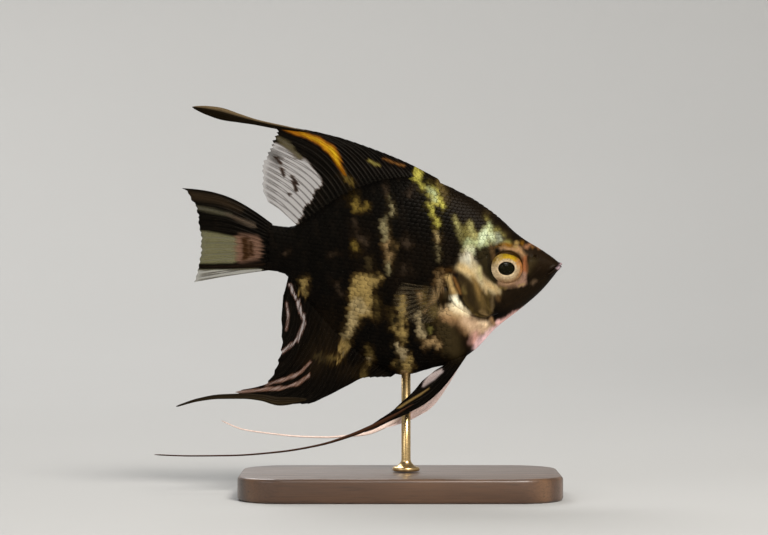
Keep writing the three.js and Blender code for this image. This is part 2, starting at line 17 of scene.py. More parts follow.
import bmesh
import bpy
import numpy as np
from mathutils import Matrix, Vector

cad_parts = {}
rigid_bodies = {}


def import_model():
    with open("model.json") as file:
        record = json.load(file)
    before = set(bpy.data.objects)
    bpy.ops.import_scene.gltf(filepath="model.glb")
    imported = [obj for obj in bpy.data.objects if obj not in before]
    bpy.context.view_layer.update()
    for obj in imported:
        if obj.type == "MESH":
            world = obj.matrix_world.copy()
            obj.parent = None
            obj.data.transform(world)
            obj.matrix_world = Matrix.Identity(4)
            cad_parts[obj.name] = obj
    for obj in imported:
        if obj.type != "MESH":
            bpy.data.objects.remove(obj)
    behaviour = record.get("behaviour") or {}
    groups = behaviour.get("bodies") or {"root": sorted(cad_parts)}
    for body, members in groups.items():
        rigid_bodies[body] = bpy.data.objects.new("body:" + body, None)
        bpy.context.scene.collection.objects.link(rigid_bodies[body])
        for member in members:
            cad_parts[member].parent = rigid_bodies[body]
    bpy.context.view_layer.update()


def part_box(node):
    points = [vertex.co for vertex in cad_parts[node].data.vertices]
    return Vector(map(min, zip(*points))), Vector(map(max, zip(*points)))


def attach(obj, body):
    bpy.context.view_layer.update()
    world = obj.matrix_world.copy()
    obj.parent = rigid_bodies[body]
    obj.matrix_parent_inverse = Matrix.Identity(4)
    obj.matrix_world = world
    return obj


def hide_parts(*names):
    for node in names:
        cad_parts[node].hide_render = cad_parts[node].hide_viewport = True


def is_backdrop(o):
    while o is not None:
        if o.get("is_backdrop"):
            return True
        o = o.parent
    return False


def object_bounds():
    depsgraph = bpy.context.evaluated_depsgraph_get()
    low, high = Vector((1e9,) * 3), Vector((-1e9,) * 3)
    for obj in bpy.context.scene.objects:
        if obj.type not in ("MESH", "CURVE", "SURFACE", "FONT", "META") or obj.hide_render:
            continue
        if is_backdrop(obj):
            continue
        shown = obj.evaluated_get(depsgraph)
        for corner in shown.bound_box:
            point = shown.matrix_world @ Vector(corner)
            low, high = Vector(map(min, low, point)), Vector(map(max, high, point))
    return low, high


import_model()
MM = 0.001
SIDES = {"right": -1, "left": 1}  # the right flank faces -Y

# %% [markdown]
# ## Curves, noise and marks
#
# Three small tools draw everything that follows. A smooth curve through a few pairs gives a
# profile. Seeded noise gives the small unevenness of living things, the same on every run. A
# stroke is a line of points, each with half its width, and says how much of it covers a place.
# A modeller could paint the marbling by hand instead. Strokes are used because skin, scales and
# fins can then all ask the same function what colour they have, so the pattern runs on across
# every piece.

# %% Curves and noise
def smooth(t):
    """0 below 0, 1 above 1, and an even rise between."""
    t = np.clip(t, 0, 1)
    return t * t * (3 - 2 * t)


def lerp(a, b, t):
    return a + (b - a) * t


def bump(d, at, width):
    """A soft ridge where the distance d is at."""
    return np.exp(-(((d - at) / width) ** 2))


def through(*pairs):
    """A smooth curve through (place, value) pairs that never overshoots them."""
    xs, ys = np.array(pairs, float).T
    span = np.diff(xs)
    chord = np.diff(ys) / span
    before, after = chord[:-1], chord[1:]
    same = before * after > 0
    slope = np.concatenate([chord[:1], np.zeros(len(before)), chord[-1:]])
    slope[1:-1][same] = 2 * before[same] * after[same] / (before[same] + after[same])

    def at(x):
        x = np.asarray(x, float)
        i = np.clip(np.searchsorted(xs, x) - 1, 0, len(span) - 1)
        t = np.clip((x - xs[i]) / span[i], 0, 1)
        u = 1 - t
        ends = ys[i] * (1 + 2 * t) * u * u + ys[i + 1] * (3 - 2 * t) * t * t
        return ends + span[i] * t * u * (slope[i] * u - slope[i + 1] * t)

    return at


LATTICE = 64
LATTICE_X, LATTICE_Z = 19.3, 7.7  # keeps the lattice's own lines off the middle of the fish


def noise(x, z, seed, size, tall=1.0):
    """Smooth noise from -1 to 1 over the side view. size is its grain, tall times that upwards."""
    table = np.random.default_rng(seed).uniform(-1, 1, (LATTICE, LATTICE))
    u, v = x / size + LATTICE_X, z / (size * tall) + LATTICE_Z
    i, j = np.floor(u).astype(int), np.floor(v).astype(int)
    f, g = smooth(u - i), smooth(v - j)
    i0, i1, j0, j1 = i % LATTICE, (i + 1) % LATTICE, j % LATTICE, (j + 1) % LATTICE
    return lerp(lerp(table[i0, j0], table[i1, j0], f), lerp(table[i0, j1], table[i1, j1], f), g)


print("noise at the eye:", round(float(noise(np.array(26.5), np.array(57.1), 1, 2.0)), 3))


# %% Strokes
FAR = 1e3  # millimetres, farther off than any place on the fish


def outside_of(x, z, points):
    """How far each place lies outside a stroke of (x, z, half width), negative inside it."""
    p = np.array(points, float)
    if len(p) == 1:
        p = np.repeat(p, 2, axis=0)
    least = np.full(np.shape(x), FAR)
    for (ax, az, ar), (bx, bz, br) in zip(p[:-1], p[1:]):
        dx, dz = bx - ax, bz - az
        t = np.clip(((x - ax) * dx + (z - az) * dz) / max(dx * dx + dz * dz, 1e-9), 0, 1)
        least = np.minimum(least, np.hypot(x - ax - t * dx, z - az - t * dz) - lerp(ar, br, t))
    return least


def cover(x, z, points, edge):
    """How much a stroke covers each place, from 0 to 1 across its soft edge."""
    return smooth(0.5 - outside_of(x, z, points) / edge)


def line(*points):
    """A stroke without width."""
    return [(x, z, 0) for x, z in points]


print("a stroke covers its own middle by", float(cover(0.0, 0.0, [(0, 0, 1)], 0.5)))

# %% [markdown]
# ## The body's shape
#
# Seen from the side the body is a disc with a pointed snout. Four curves along its length say
# how high the back is, how low the belly, where it is widest and how wide. Between them each
# section is a pointed oval that comes to a keel above and below. These are the frame's own
# curves, so the skin meets the fins and eyes that are placed by them.

# %% The body's curves
TAIL_X, SNOUT_X, WIDEST_X = -33, 40, 12
FLANK_POWER = 1.12  # above 1 the sections come to a keel
SLOPE_STEP = 0.02  # how far to either side a slope is measured
back_height = through(
    (-33, 67.9), (-27.5, 67.4), (-22, 70.7), (-13.5, 76), (-4, 79.4), (1.3, 80), (7, 79.4),
    (15, 76.2), (23.8, 70.6), (28.8, 65.9), (31.5, 63.9), (35, 61.8), (38.6, 59.3), (40, 58.1))
belly_height = through(
    (-33, 56.2), (-29.5, 55.7), (-27.5, 54.2), (-22, 47.2), (-13.5, 38.2), (-6, 32.4), (1, 30.1),
    (8, 31.8), (13, 33), (18.5, 36.4), (24.2, 42.2), (30.5, 47.1), (35, 51), (38.4, 54.9),
    (40, 57.2))
axis_height = through((-33, 62), (-16, 59.5), (0, 57), (14, 55.5), (27, 56.6), (40, 57.6))
half_width = through(
    (-33, 1.35), (-26.5, 2.2), (-16, 3.7), (-6, 5), (3, 5.8), (12, 6.2), (20, 5.95), (26.5, 5.2),
    (32, 4), (36, 2.9), (38.7, 1.9), (40, 0.9))


def reach_at(x, above):
    """From the axis to the back where above is true, and to the belly elsewhere."""
    axis = axis_height(x)
    return np.where(above, back_height(x) - axis, axis - belly_height(x))


def section_point(x, turn):
    """(y, z) on the section at x, turned up from the widest place of the flank, in radians."""
    y = half_width(x) * np.sign(np.cos(turn)) * np.abs(np.cos(turn)) ** FLANK_POWER
    return y, axis_height(x) + reach_at(x, np.sin(turn) > 0) * np.sin(turn)


def flank(x, z):
    """How far the flank stands from the middle plane at a place in the side view."""
    lift = np.clip((z - axis_height(x)) / reach_at(x, z > axis_height(x)), -1, 1)
    return half_width(x) * np.sqrt(1 - lift * lift) ** FLANK_POWER


def level(x, y, z):
    """1 on the body's surface, less inside it."""
    across = (np.abs(y) / half_width(x)) ** (2 / FLANK_POWER)
    return across + ((z - axis_height(x)) / reach_at(x, z > axis_height(x))) ** 2


def outward(x, y, z):
    """The unit vector that points straight out of the body at each place of its surface."""
    d = SLOPE_STEP
    slope = np.stack([level(x + d, y, z) - level(x - d, y, z),
                      level(x, y + d, z) - level(x, y - d, z),
                      level(x, y, z + d) - level(x, y, z - d)], axis=-1)
    return slope / np.linalg.norm(slope, axis=-1, keepdims=True)


def raised(x, y, z, lift):
    """Places on the body's surface, moved straight out of it by lift."""
    return np.stack([x, y, z], axis=-1) + outward(x, y, z) * lift[..., None]


print("body:", SNOUT_X - TAIL_X, "mm long,", 2 * float(half_width(WIDEST_X)), "mm thick")

# %% [markdown]
# ## Meshes from a sheet, a ball or a turned profile
#
# A skin or a strand starts as a ball, a fin as a flat sheet with two faces, and a lens or a rod
# as a profile spun round an axis. Each is closed from the start. Its points are then moved to
# their real places in one step by a formula. The other way, building rings of faces by hand, is
# easier to get wrong at the seams and poles.

# %% From bmesh to finished pieces
def mesh_from(bm, name):
    mesh = bpy.data.meshes.new(name)
    bmesh.ops.recalc_face_normals(bm, faces=bm.faces)
    bm.to_mesh(mesh)
    bm.free()
    return mesh


def places(mesh):
    co = np.empty(len(mesh.vertices) * 3)
    mesh.vertices.foreach_get("co", co)
    return co.reshape(-1, 3)


def move_to(mesh, co):
    """Moves the points to co, in millimetres, and turns the faces out if that turned them in."""
    mesh.vertices.foreach_set("co", (co * MM).ravel())
    mesh.update()
    mesh.calc_loop_triangles()
    corners = np.empty(len(mesh.loop_triangles) * 3, int)
    mesh.loop_triangles.foreach_get("vertices", corners)
    a, b, c = (co[corners.reshape(-1, 3)[:, k]] for k in range(3))
    if np.einsum("ij,ij->i", a, np.cross(b, c)).sum() < 0:
        mesh.flip_normals()
    mesh.shade_smooth()
    mesh.update()


def normals(mesh):
    out = np.empty(len(mesh.vertices) * 3)
    mesh.vertices.foreach_get("normal", out)
    return out.reshape(-1, 3)


def give(mesh, name, values):
    """Stores one number, or a colour and a fourth number, for each point under a name."""
    kind = "FLOAT_COLOR" if values.ndim == 2 else "FLOAT"
    layer = mesh.attributes.new(name, kind, "POINT")
    layer.data.foreach_set("color" if values.ndim == 2 else "value", values.ravel().astype("f4"))


def piece(name, mesh, finish, slot, *nodes):
    """A finished piece: it rides on the one body, has its finish and hides the nodes it stands
    for.
    """
    made = bpy.data.objects.new(name, mesh)
    bpy.context.scene.collection.objects.link(made)
    mesh.materials.append(finish)
    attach(made, "root")
    if nodes:
        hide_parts(*nodes)
    mesh.calc_loop_triangles()
    print(f"{name}: {len(mesh.loop_triangles)} triangles")


# %% Sheets, balls and turned shapes
def sheet(name, columns, rows):
    """A closed sheet. Returns its mesh and each point's u, v from 0 to 1 and face, -1 or 1."""
    bm = bmesh.new()
    bmesh.ops.create_grid(bm, x_segments=columns, y_segments=rows, size=0.5)
    far = bmesh.ops.extrude_face_region(bm, geom=bm.faces[:], use_keep_orig=True)["geom"]
    verts = [v for v in far if isinstance(v, bmesh.types.BMVert)]
    bmesh.ops.translate(bm, vec=(0, 0, 1), verts=verts)
    mesh = mesh_from(bm, name)
    u, v, w = places(mesh).T
    return mesh, u + 0.5, v + 0.5, 2 * np.round(w) - 1


def ball(name, around, along):
    """A closed ball. Returns its mesh and each point's turn and share from pole to pole."""
    bm = bmesh.new()
    bmesh.ops.create_uvsphere(bm, u_segments=around, v_segments=along, radius=1)
    mesh = mesh_from(bm, name)
    x, y, z = places(mesh).T
    return mesh, np.arctan2(y, x), np.arccos(np.clip(z, -1, 1)) / np.pi


def turned(name, profile, steps):
    """A profile of (radius, height) spun once round the height axis. Returns mesh, r, turn, h.

    A profile that starts off the axis is a ring and is closed on itself.
    """
    bm = bmesh.new()
    rim = [bm.verts.new((r, 0, h)) for r, h in profile]
    edges = [bm.edges.new(pair) for pair in zip(rim[:-1], rim[1:])]
    if profile[0][0] > 0:
        edges.append(bm.edges.new((rim[-1], rim[0])))
    bmesh.ops.spin(bm, geom=rim + edges, cent=(0, 0, 0), axis=(0, 0, 1), angle=2 * np.pi,
                   steps=steps, use_merge=True)
    bmesh.ops.remove_doubles(bm, verts=bm.verts, dist=1e-5)
    mesh = mesh_from(bm, name)
    x, y, z = places(mesh).T
    return mesh, np.hypot(x, y), np.arctan2(y, x), z


TIP_TAPER = 14  # the higher, the shorter the rounded tips of a strand


def strand(name, path, half_high, half_thick, around, along, flutes=0):
    """A tapered strand along points (x, y, z): high in the middle plane, thick across it.

    flutes is how many rays show as ridges along it. Returns its mesh and, for each point, how far
    up it lies on the strand, from -1 to 1.
    """
    mesh, turn, share = ball(name, around, along)
    path = np.array(path, float)
    length = np.concatenate([[0], np.cumsum(np.linalg.norm(np.diff(path, axis=0), axis=1))])
    axes = [through(*zip(length / length[-1], column)) for column in path.T]
    centre = np.stack([axis(share) for axis in axes], axis=-1)
    ahead = np.stack([axis(share + 1e-3) - axis(share - 1e-3) for axis in axes], axis=-1)
    ahead /= np.linalg.norm(ahead, axis=-1, keepdims=True)
    side = np.array([0, 1, 0]) - ahead * ahead[:, 1:2]
    side /= np.linalg.norm(side, axis=-1, keepdims=True)
    up = np.cross(ahead, side)
    closing = np.clip(np.sin(np.pi * share) * TIP_TAPER, 0, 1) ** 0.5
    high = (half_high(share) * closing * np.sin(turn))[:, None]
    ridges = 1 + 0.5 * np.cos(np.sin(turn) * np.pi * flutes) ** 2 if flutes else 1
    thick = (half_thick(share) * closing * np.cos(turn) * ridges)[:, None]
    move_to(mesh, centre + up * high + side * thick)
    return mesh, np.sign(up[:, 2]) * np.sin(turn)


def joined(name, *meshes):
    """Several meshes with the same kinds of attributes as one."""
    bm = bmesh.new()
    for mesh in meshes:
        bm.from_mesh(mesh)
    out = bpy.data.meshes.new(name)
    bm.to_mesh(out)
    bm.free()
    for mesh in meshes:
        bpy.data.meshes.remove(mesh)
    return out


print("tools for sheets, balls, turned shapes and strands are ready")

# %% [markdown]
# ## The marbling
#
# A marble angelfish is black with gold, cream and olive blotches that run up and down, since
# the black cells spread over a pale, silvery fish. The blotches are laid here as strokes in the
# side view. Their edges are ragged, so each place is first shifted by noise. The head's marks
# sit on its bones and are shifted little. On the left flank the shift is larger and another
# one, because no fish is marbled alike on both sides.

# %% Colours of the fish
BLACK = (0.0024, 0.0019, 0.0015)
BROWN_BLACK = (0.0075, 0.0045, 0.0024)
BROWN = (0.0155, 0.0092, 0.004)
FOREHEAD = (0.011, 0.0062, 0.0028)
SNOUT_BROWN = (0.021, 0.0115, 0.0048)
OLIVE_DARK = (0.052, 0.036, 0.014)
OLIVE = (0.115, 0.080, 0.024)
MOSS = (0.15, 0.13, 0.035)
KHAKI = (0.235, 0.165, 0.056)
GREY_CREAM = (0.27, 0.205, 0.095)
BEIGE = (0.22, 0.145, 0.066)
CREAM = (0.28, 0.22, 0.12)
MINT = (0.30, 0.335, 0.17)
MINT_WHITE = (0.40, 0.46, 0.29)
BLUE_GREY = (0.19, 0.205, 0.14)
YELLOW_GREEN = (0.36, 0.33, 0.062)
ORANGE_GOLD = (0.23, 0.085, 0.003)
GOLD = (0.41, 0.21, 0.006)
YELLOW_GOLD = (0.46, 0.285, 0.008)
TAN_PINK = (0.22, 0.105, 0.05)
DIM = (0.055, 0.037, 0.023)
OLIVE_GOLD = (0.13, 0.088, 0.018)
GREEN_KHAKI = (0.25, 0.23, 0.085)
DULL_CREAM = (0.17, 0.145, 0.075)
BUFF = (0.40, 0.29, 0.135)
ICE = (0.36, 0.345, 0.265)
ICE_GREEN = (0.42, 0.44, 0.27)
PALE_BUFF = (0.37, 0.30, 0.17)
GREEN_CREAM = (0.35, 0.30, 0.145)
TAWNY = (0.085, 0.038, 0.008)
PLATE_BROWN = (0.068, 0.043, 0.013)
PLATE_TAN = (0.125, 0.076, 0.023)
PLATE_GREY = (0.088, 0.062, 0.019)
PLATE_DARK = (0.015, 0.009, 0.0025)
PLATE_BEIGE = (0.115, 0.075, 0.03)
UMBER = (0.055, 0.036, 0.010)
RUST = (0.15, 0.07, 0.018)
CHEEK_CREAM = (0.34, 0.24, 0.113)
ASH = (0.085, 0.058, 0.027)
SOFT_BROWN = (0.06, 0.033, 0.012)
SHADE = (0.014, 0.010, 0.0036)
FLAP_TAN = (0.32, 0.215, 0.085)
FLAP_WHITE = (0.93, 0.87, 0.64)
FLAP_CREAM = (0.74, 0.62, 0.40)
THROAT_TAN = (0.36, 0.245, 0.125)
THROAT_BROWN = (0.24, 0.14, 0.065)
THROAT_BEIGE = (0.42, 0.29, 0.18)
THROAT_CREAM = (0.78, 0.59, 0.38)
DUSK_PINK = (0.50, 0.27, 0.22)
# The throat's own pale pinks, painted brighter as painted light on the underside, which faces away
# from the lamps.
PALE_PINK = (0.98, 0.66, 0.68)
JAW_PINK = (0.88, 0.52, 0.48)
BROW_TAN = (0.26, 0.15, 0.07)
DEEP_OCHRE = (0.12, 0.053, 0.004)
BROW_PALE = (0.22, 0.145, 0.05)
POUCH = (0.20, 0.118, 0.066)
POUCH_OLIVE = (0.125, 0.083, 0.024)
POUCH_PINK = (0.25, 0.145, 0.10)
EYE_FRONT = (0.21, 0.075, 0.028)
LIP_PALE = (0.34, 0.25, 0.27)
MARK_ASH = (0.07, 0.045, 0.026)


def tint(hue, colour, share):
    """Runs each point's colour towards another one by its share."""
    return lerp(hue, np.array(colour), share[..., None])


print("the black of the fish is", BLACK)

# %% The marks: a colour, how silvery it is, how soft its edge is, and its strokes
TRUNK_MARKS = [
    (BROWN_BLACK, 0, 3, [(-2, 60, 2.5), (0, 52, 2)], [(3, 64, 1.2), (2.5, 55, 1.4)],
     [(-9, 66.5, 1.6), (-9, 58, 1.8)], [(6, 62, 1), (7, 57, 1.2)], [(12, 63, 1.5),
     (12, 59, 1.5)]),
    (BROWN, 0, 4, [(-18, 44, 2), (-18.5, 39, 3), (-21, 34, 3)], [(-13, 31, 1.5)]),
    (OLIVE_DARK, 0, 1.0, [(11, 50.6, 0.9)], [(-20.5, 34.2, 0.9), (-17.5, 34.6, 1.1)],
     [(-1.8, 63, 0.6), (-1.6, 59, 0.4)], [(-7.8, 59.2, 0.2), (-7.6, 57, 0.5)]),
    (OLIVE_DARK, 0, 2.5, [(9.5, 46, 1.6), (11.3, 42, 2.4), (12.5, 38.4, 2.6), (14, 36, 1.6)]),
    (OLIVE, 0, 1.6, [(9.8, 78, 1), (11, 76, 0.6), (11.5, 74.5, 0.4)], [(-6, 50, 0.5),
     (-5.8, 46, 0.5)], [(-16.8, 34.8, 0.7), (-15.6, 34.6, 0.9)], [(-9.2, 31.6, 0.5),
     (-9.3, 29.4, 0.4)], [(7.6, 48.4, 1), (8.4, 46, 1.2)]),
    (OLIVE, 0, 1.0, [(-7.8, 36.6, 0.4), (-7.5, 34.6, 0.7), (-7.2, 33.4, 0.5)], [(5.6, 50.6, 1),
     (5.9, 47.4, 0.9)], [(-2.4, 47, 0.3)], [(-2.6, 45.4, 0.3), (-2.1, 43.4, 0.4),
     (-1.7, 42, 0.3)]),
    (DIM, 0, 0.9, [(-11.5, 68, 0.3), (-11, 66, 0.5)], [(-9.4, 64.6, 0.7), (-8.6, 63.6, 0.4)],
     [(1.2, 65, 0.5), (1.5, 63, 0.6)], [(-15.8, 52.6, 0.5), (-15.3, 51, 0.4)], [(1.4, 58, 0.3),
     (1.2, 56, 0.3)], [(-17, 60, 0.4), (-15.6, 60.4, 0.3)], [(2.2, 75.4, 0.3), (3, 76.6, 0.3)],
     [(-28, 61, 0.4)], [(-3.4, 77.4, 0.3), (-3.2, 75.6, 0.5)]),
    (KHAKI, 0.2, 0.8, [(-10.8, 53.7, 0.8), (-8, 53.9, 1.3), (-6, 53.6, 1.0)],
     [(-5.2, 54.8, 0.5)], [(-9.6, 52, 2.7), (-9.8, 49, 3.0), (-9.9, 46.9, 2.9),
     (-10.4, 45.6, 2.2)], [(-7.6, 46.4, 0.7), (-7.4, 45, 0.3)], [(-13.5, 38.2, 1.1),
     (-14.2, 35.6, 0.9), (-15, 34, 0.8)], [(0.6, 49.8, 0.5), (0.3, 48.2, 1.2), (-0.1, 46.8, 1.1),
     (0.3, 45.2, 0.6), (0.1, 42.6, 0.7), (0.3, 39.8, 0.7), (0.8, 38, 0.3)], [(-0.8, 41.4, 0.6)],
     [(2, 33.3, 1.6), (1.2, 31.6, 1.3)], [(-0.9, 33, 0.6)], [(-23.4, 54.6, 0.4),
     (-24, 52.6, 1.1), (-24.1, 51.2, 0.8)]),
    (GREY_CREAM, 0.35, 0.8, [(-11.6, 44.8, 1.2), (-12.9, 41.8, 0.8), (-13.4, 39.8, 0.6)],
     [(-10.6, 47.4, 1.7), (-9.4, 46, 1.4)], [(-3.9, 67, 0.5), (-3.6, 64.2, 0.6),
     (-3.2, 62.6, 0.4)], [(9.6, 65, 0.35), (9.5, 63.6, 0.3)]),
    (BEIGE, 0.25, 1.0, [(-3.3, 63, 0.7), (-2.9, 61, 0.6), (-2.7, 58.6, 0.4)]),
    (DULL_CREAM, 0.3, 0.9, [(-2.6, 74.6, 0.15), (-2.2, 72.6, 0.3), (-1.6, 71.2, 0.5),
     (-2.4, 70, 0.4)], [(-3.6, 69.2, 0.3), (-4.3, 67.8, 0.55), (-4, 66, 0.6), (-3.7, 63.8, 0.4)],
     [(-2.9, 58, 0.3), (-2.8, 56.8, 0.25)], [(9.4, 62, 0.2), (9.6, 59.4, 0.3)]),
    (BEIGE, 0.25, 0.8, [(9.9, 55.6, 0.5), (10, 53.4, 0.6), (9.4, 51, 0.6), (8.4, 49, 0.5),
     (7, 47.4, 0.4), (5.8, 46, 0.5)], [(7, 38.6, 0.9), (9, 38.1, 1.1)], [(0.8, 31, 0.6)],
     [(5.2, 51.2, 0.4), (5, 49.4, 0.4)]),
    (CREAM, 0.4, 0.7, [(4.8, 46, 0.4), (4.6, 43, 0.5), (5.2, 41, 0.9)], [(-1, 37.8, 0.3),
     (0, 36, 0.4), (1, 34.8, 0.7)], [(-14.5, 34.9, 0.6)], [(-7.7, 34.4, 0.3)]),
    (YELLOW_GREEN, 0.2, 0.8, [(4.3, 80.8, 0.7), (4.8, 78.3, 0.8)], [(6, 77.5, 0.6),
     (8, 76.6, 1.2), (8.7, 74.6, 1.2), (8.5, 73.2, 0.8)], [(9.5, 74, 1.0), (10.8, 72.6, 0.6)],
     [(7.4, 72.6, 0.5), (7.8, 70.8, 0.45), (8.8, 69, 0.3), (9.5, 67, 0.25)]),
    (MOSS, 0.1, 0.6, [(6.8, 42, 0.35)]),
    (MINT, 0.3, 0.9, [(7.4, 77.2, 0.3), (8.2, 75.6, 0.6), (8.4, 73.8, 0.4)]),
    (OLIVE_GOLD, 0.15, 0.9, [(-14.2, 80.2, 0.5), (-12.8, 78.3, 0.8), (-12, 78, 0.5)],
     [(-11.8, 74.6, 0.6), (-11.3, 72.5, 0.8), (-11.2, 70.9, 0.5)], [(-10, 71.3, 0.5),
     (-8.8, 72, 0.7)], [(-11.2, 63, 0.3), (-10.8, 61.1, 0.5)]),
    (BLACK, 0, 0.8, [(8, 36.6, 0.6)], [(-0.5, 32.9, 0.3)], [(-1.2, 43.8, 0.4)]),
]
HEAD_MARKS = [
    (FOREHEAD, 0, 4, [(17, 73, 4), (22, 69, 4), (28, 64.5, 2.5)]),
    (SNOUT_BROWN, 0, 4, [(30, 62, 1), (34, 60, 4), (37, 58, 3)]),
    (OLIVE_DARK, 0, 2, [(22, 70.4, 0.5)], [(26.4, 65.4, 0.4)]),
    (BROWN, 0, 2.5, [(25, 49, 2), (28.5, 49.4, 3), (33, 51.5, 2.5), (36.5, 54, 1.5)],
     [(15.5, 38.8, 1), (14.5, 42, 0.6)]),
    (OLIVE_DARK, 0, 2, [(31.5, 56, 0.8), (33, 59, 0.6)]),
    (TAWNY, 0.1, 1.2, [(9.2, 56, 0.2), (11, 55.8, 0.5), (13, 56.4, 0.8)], [(9.6, 54.4, 0.4),
     (9.6, 52, 0.5)], [(10.6, 54.2, 0.5)]),
    (GREEN_KHAKI, 0.25, 1.1, [(13.6, 70, 0.1), (14, 68.4, 0.3), (14.8, 66.4, 0.6),
     (15.8, 64.6, 1.0)], [(17.4, 68, 0.5), (17.6, 65.6, 1.3), (19, 64.2, 1.1)]),
    (MOSS, 0.2, 1.4, [(16, 67, 0.4), (16.4, 64.4, 0.8)]),
    (MINT, 0.35, 1.0, [(22.2, 68.4, 0.3), (22.2, 66.4, 1.3), (21.6, 64.4, 2.0),
     (20.4, 62.8, 1.2)], [(17, 63.2, 1.3), (16.6, 61.6, 1.2)], [(19, 63.4, 0.8)],
     [(24, 64.8, 0.9)]),
    (MOSS, 0.2, 1.2, [(23.8, 66.6, 0.5), (25.6, 65, 0.5)], [(21.6, 69.2, 0.3)], [(25, 63.5, 0.5),
     (27, 63.4, 0.5)]),
    (BLUE_GREY, 0.25, 0.9, [(24.1, 65.2, 0.6), (24.6, 64, 0.7), (23.8, 63.2, 0.3)]),
    (MINT_WHITE, 0.3, 1.0, [(21.4, 66.4, 0.4), (20.9, 64.9, 1.0), (20.1, 63.2, 0.6)],
     [(22.6, 65.2, 0.6), (23, 64.2, 0.4)]),
    (PALE_BUFF, 0.3, 2.0, [(16.8, 61, 0.9), (16.4, 58.6, 1.5), (17.4, 56.4, 2.0),
     (19.4, 54, 1.3), (21.6, 52.4, 1.2), (23.6, 51.4, 0.9)]),
    (PLATE_BROWN, 0, 1.6, [(15.4, 53.6, 1.0), (17.2, 51, 1.8), (19.2, 48.6, 1.8),
     (21.2, 46.8, 1.4)]),
]
FACE_MARKS = [
    (BUFF, 0.2, 1.8, [(14.6, 57, 0.7), (16.2, 56.6, 1.3), (17.8, 55.4, 1.0), (18.4, 54.2, 0.5)]),
    (ICE, 0.25, 1.8, [(17, 61, 0.7), (16.6, 59.4, 1.2), (17.6, 58.2, 1.0)]),
    (ICE_GREEN, 0.25, 1.2, [(16.4, 62.2, 0.2), (17.6, 61.8, 0.6), (18.2, 60.8, 0.3)]),
    (PALE_BUFF, 0.25, 1.6, [(18, 58.2, 0.6), (18.8, 56.6, 0.8)]),
    (GREEN_CREAM, 0.25, 1.0, [(19.9, 57.2, 0.3), (19.8, 55.6, 0.4), (20.3, 54, 0.4)]),
    (SHADE, 0, 1.0, [(19.9, 60.8, 1.2), (21.1, 61.3, 1.3), (21.2, 59, 1.0), (21.3, 57, 0.6),
     (21.9, 55.2, 0.5), (23.2, 54, 0.4), (24.2, 53.2, 0.3)], [(22.4, 63.4, 0.3)]),
    (SOFT_BROWN, 0, 1.1, [(22.5, 62.4, 0.4), (23.1, 60, 0.4), (22.9, 58, 0.2)]),
    (PLATE_TAN, 0.05, 1.3, [(17.9, 54.2, 0.5), (18.8, 53, 0.8), (19.5, 51, 0.8),
     (19.8, 49.4, 0.4)]),
    (PLATE_DARK, 0, 1.5, [(17.1, 52.8, 0.6), (17.3, 50.6, 1.1), (17.8, 48.6, 1.1),
     (18.8, 47.2, 0.5)]),
    (UMBER, 0, 1.0, [(15.8, 49.2, 0.3), (17.2, 47.1, 0.4), (18.8, 45.8, 0.4), (20.4, 45, 0.2)]),
    (PLATE_DARK, 0, 1.1, [(14.9, 54.7, 0.7), (15.5, 53.6, 0.7)]),
    (PLATE_GREY, 0.1, 1.0, [(15.5, 52.2, 0.3), (15.9, 50.9, 0.3)]),
    (RUST, 0, 0.8, [(13.5, 54.2, 0.3), (14.2, 52, 0.35), (14.9, 50.5, 0.2)]),
    (PLATE_BROWN, 0.05, 1.4, [(20.4, 49.4, 0.6), (20.6, 47.8, 0.7)]),
    (PLATE_BEIGE, 0.1, 1.0, [(20.1, 46.6, 0.4), (21.2, 45.6, 0.5)]),
    (UMBER, 0, 0.9, [(21.6, 50.4, 0.2), (21.9, 48.4, 0.3), (22.2, 46.2, 0.3)]),
    (CHEEK_CREAM, 0.2, 1.1, [(20.8, 53.8, 0.4), (21.8, 52.8, 0.8), (23.3, 51.8, 0.8),
     (24, 50.8, 0.3)], [(20.9, 52.4, 0.4), (21.2, 51, 0.3)]),
    (UMBER, 0, 0.7, [(21.9, 51.2, 0.1), (22.3, 49.9, 0.25)]),
    (ASH, 0.1, 0.9, [(22.9, 49.8, 0.3), (23.1, 48, 0.35), (23.1, 46.6, 0.2)]),
    (SOFT_BROWN, 0, 1.2, [(24.2, 50, 0.5), (24.6, 49, 0.3)]),
    (BROW_TAN, 0.1, 1.1, [(25, 61.9, 0.3), (27.4, 62, 0.5), (29.5, 61.6, 0.7), (30.7, 60, 0.4)]),
    (DEEP_OCHRE, 0.05, 1.0, [(24, 62.5, 0.2), (25.6, 62.8, 0.35), (27.4, 62.8, 0.4)],
     [(30.3, 63.5, 0.3)]),
    (BROW_PALE, 0.1, 0.7, [(29, 63.4, 0.35)], [(28.6, 62.4, 0.2)]),
    (TAN_PINK, 0.05, 1.0, [(31.4, 62.4, 0.5), (33, 62.9, 0.35), (34.6, 61.9, 0.3)]),
    (RUST, 0, 0.7, [(32.8, 62, 0.25), (33.4, 61.9, 0.15)]),
    (EYE_FRONT, 0.05, 0.9, [(30.9, 59.6, 0.4), (31, 57.2, 0.5), (30.9, 55.6, 0.4)]),
    (POUCH, 0.1, 1.2, [(24.8, 53.3, 0.6), (26.8, 52.9, 0.8), (28.8, 52.9, 0.7),
     (30.2, 54, 0.7)]),
    (POUCH_OLIVE, 0.05, 0.8, [(25, 52.5, 0.3), (26.2, 52.2, 0.25)]),
    (POUCH_PINK, 0.1, 1.0, [(29.2, 52.9, 0.4), (30.6, 53.2, 0.7), (30.8, 55, 0.5)]),
    (BEIGE, 0.15, 0.7, [(29.4, 52.5, 0.15), (30.9, 52.8, 0.2)]),
    (MARK_ASH, 0, 1.0, [(32.8, 53.1, 0.3), (33.8, 53.7, 0.2)]),
    (LIP_PALE, 0.05, 0.8, [(39.3, 56.9, 0.2), (40.2, 57.9, 0.4)]),
]
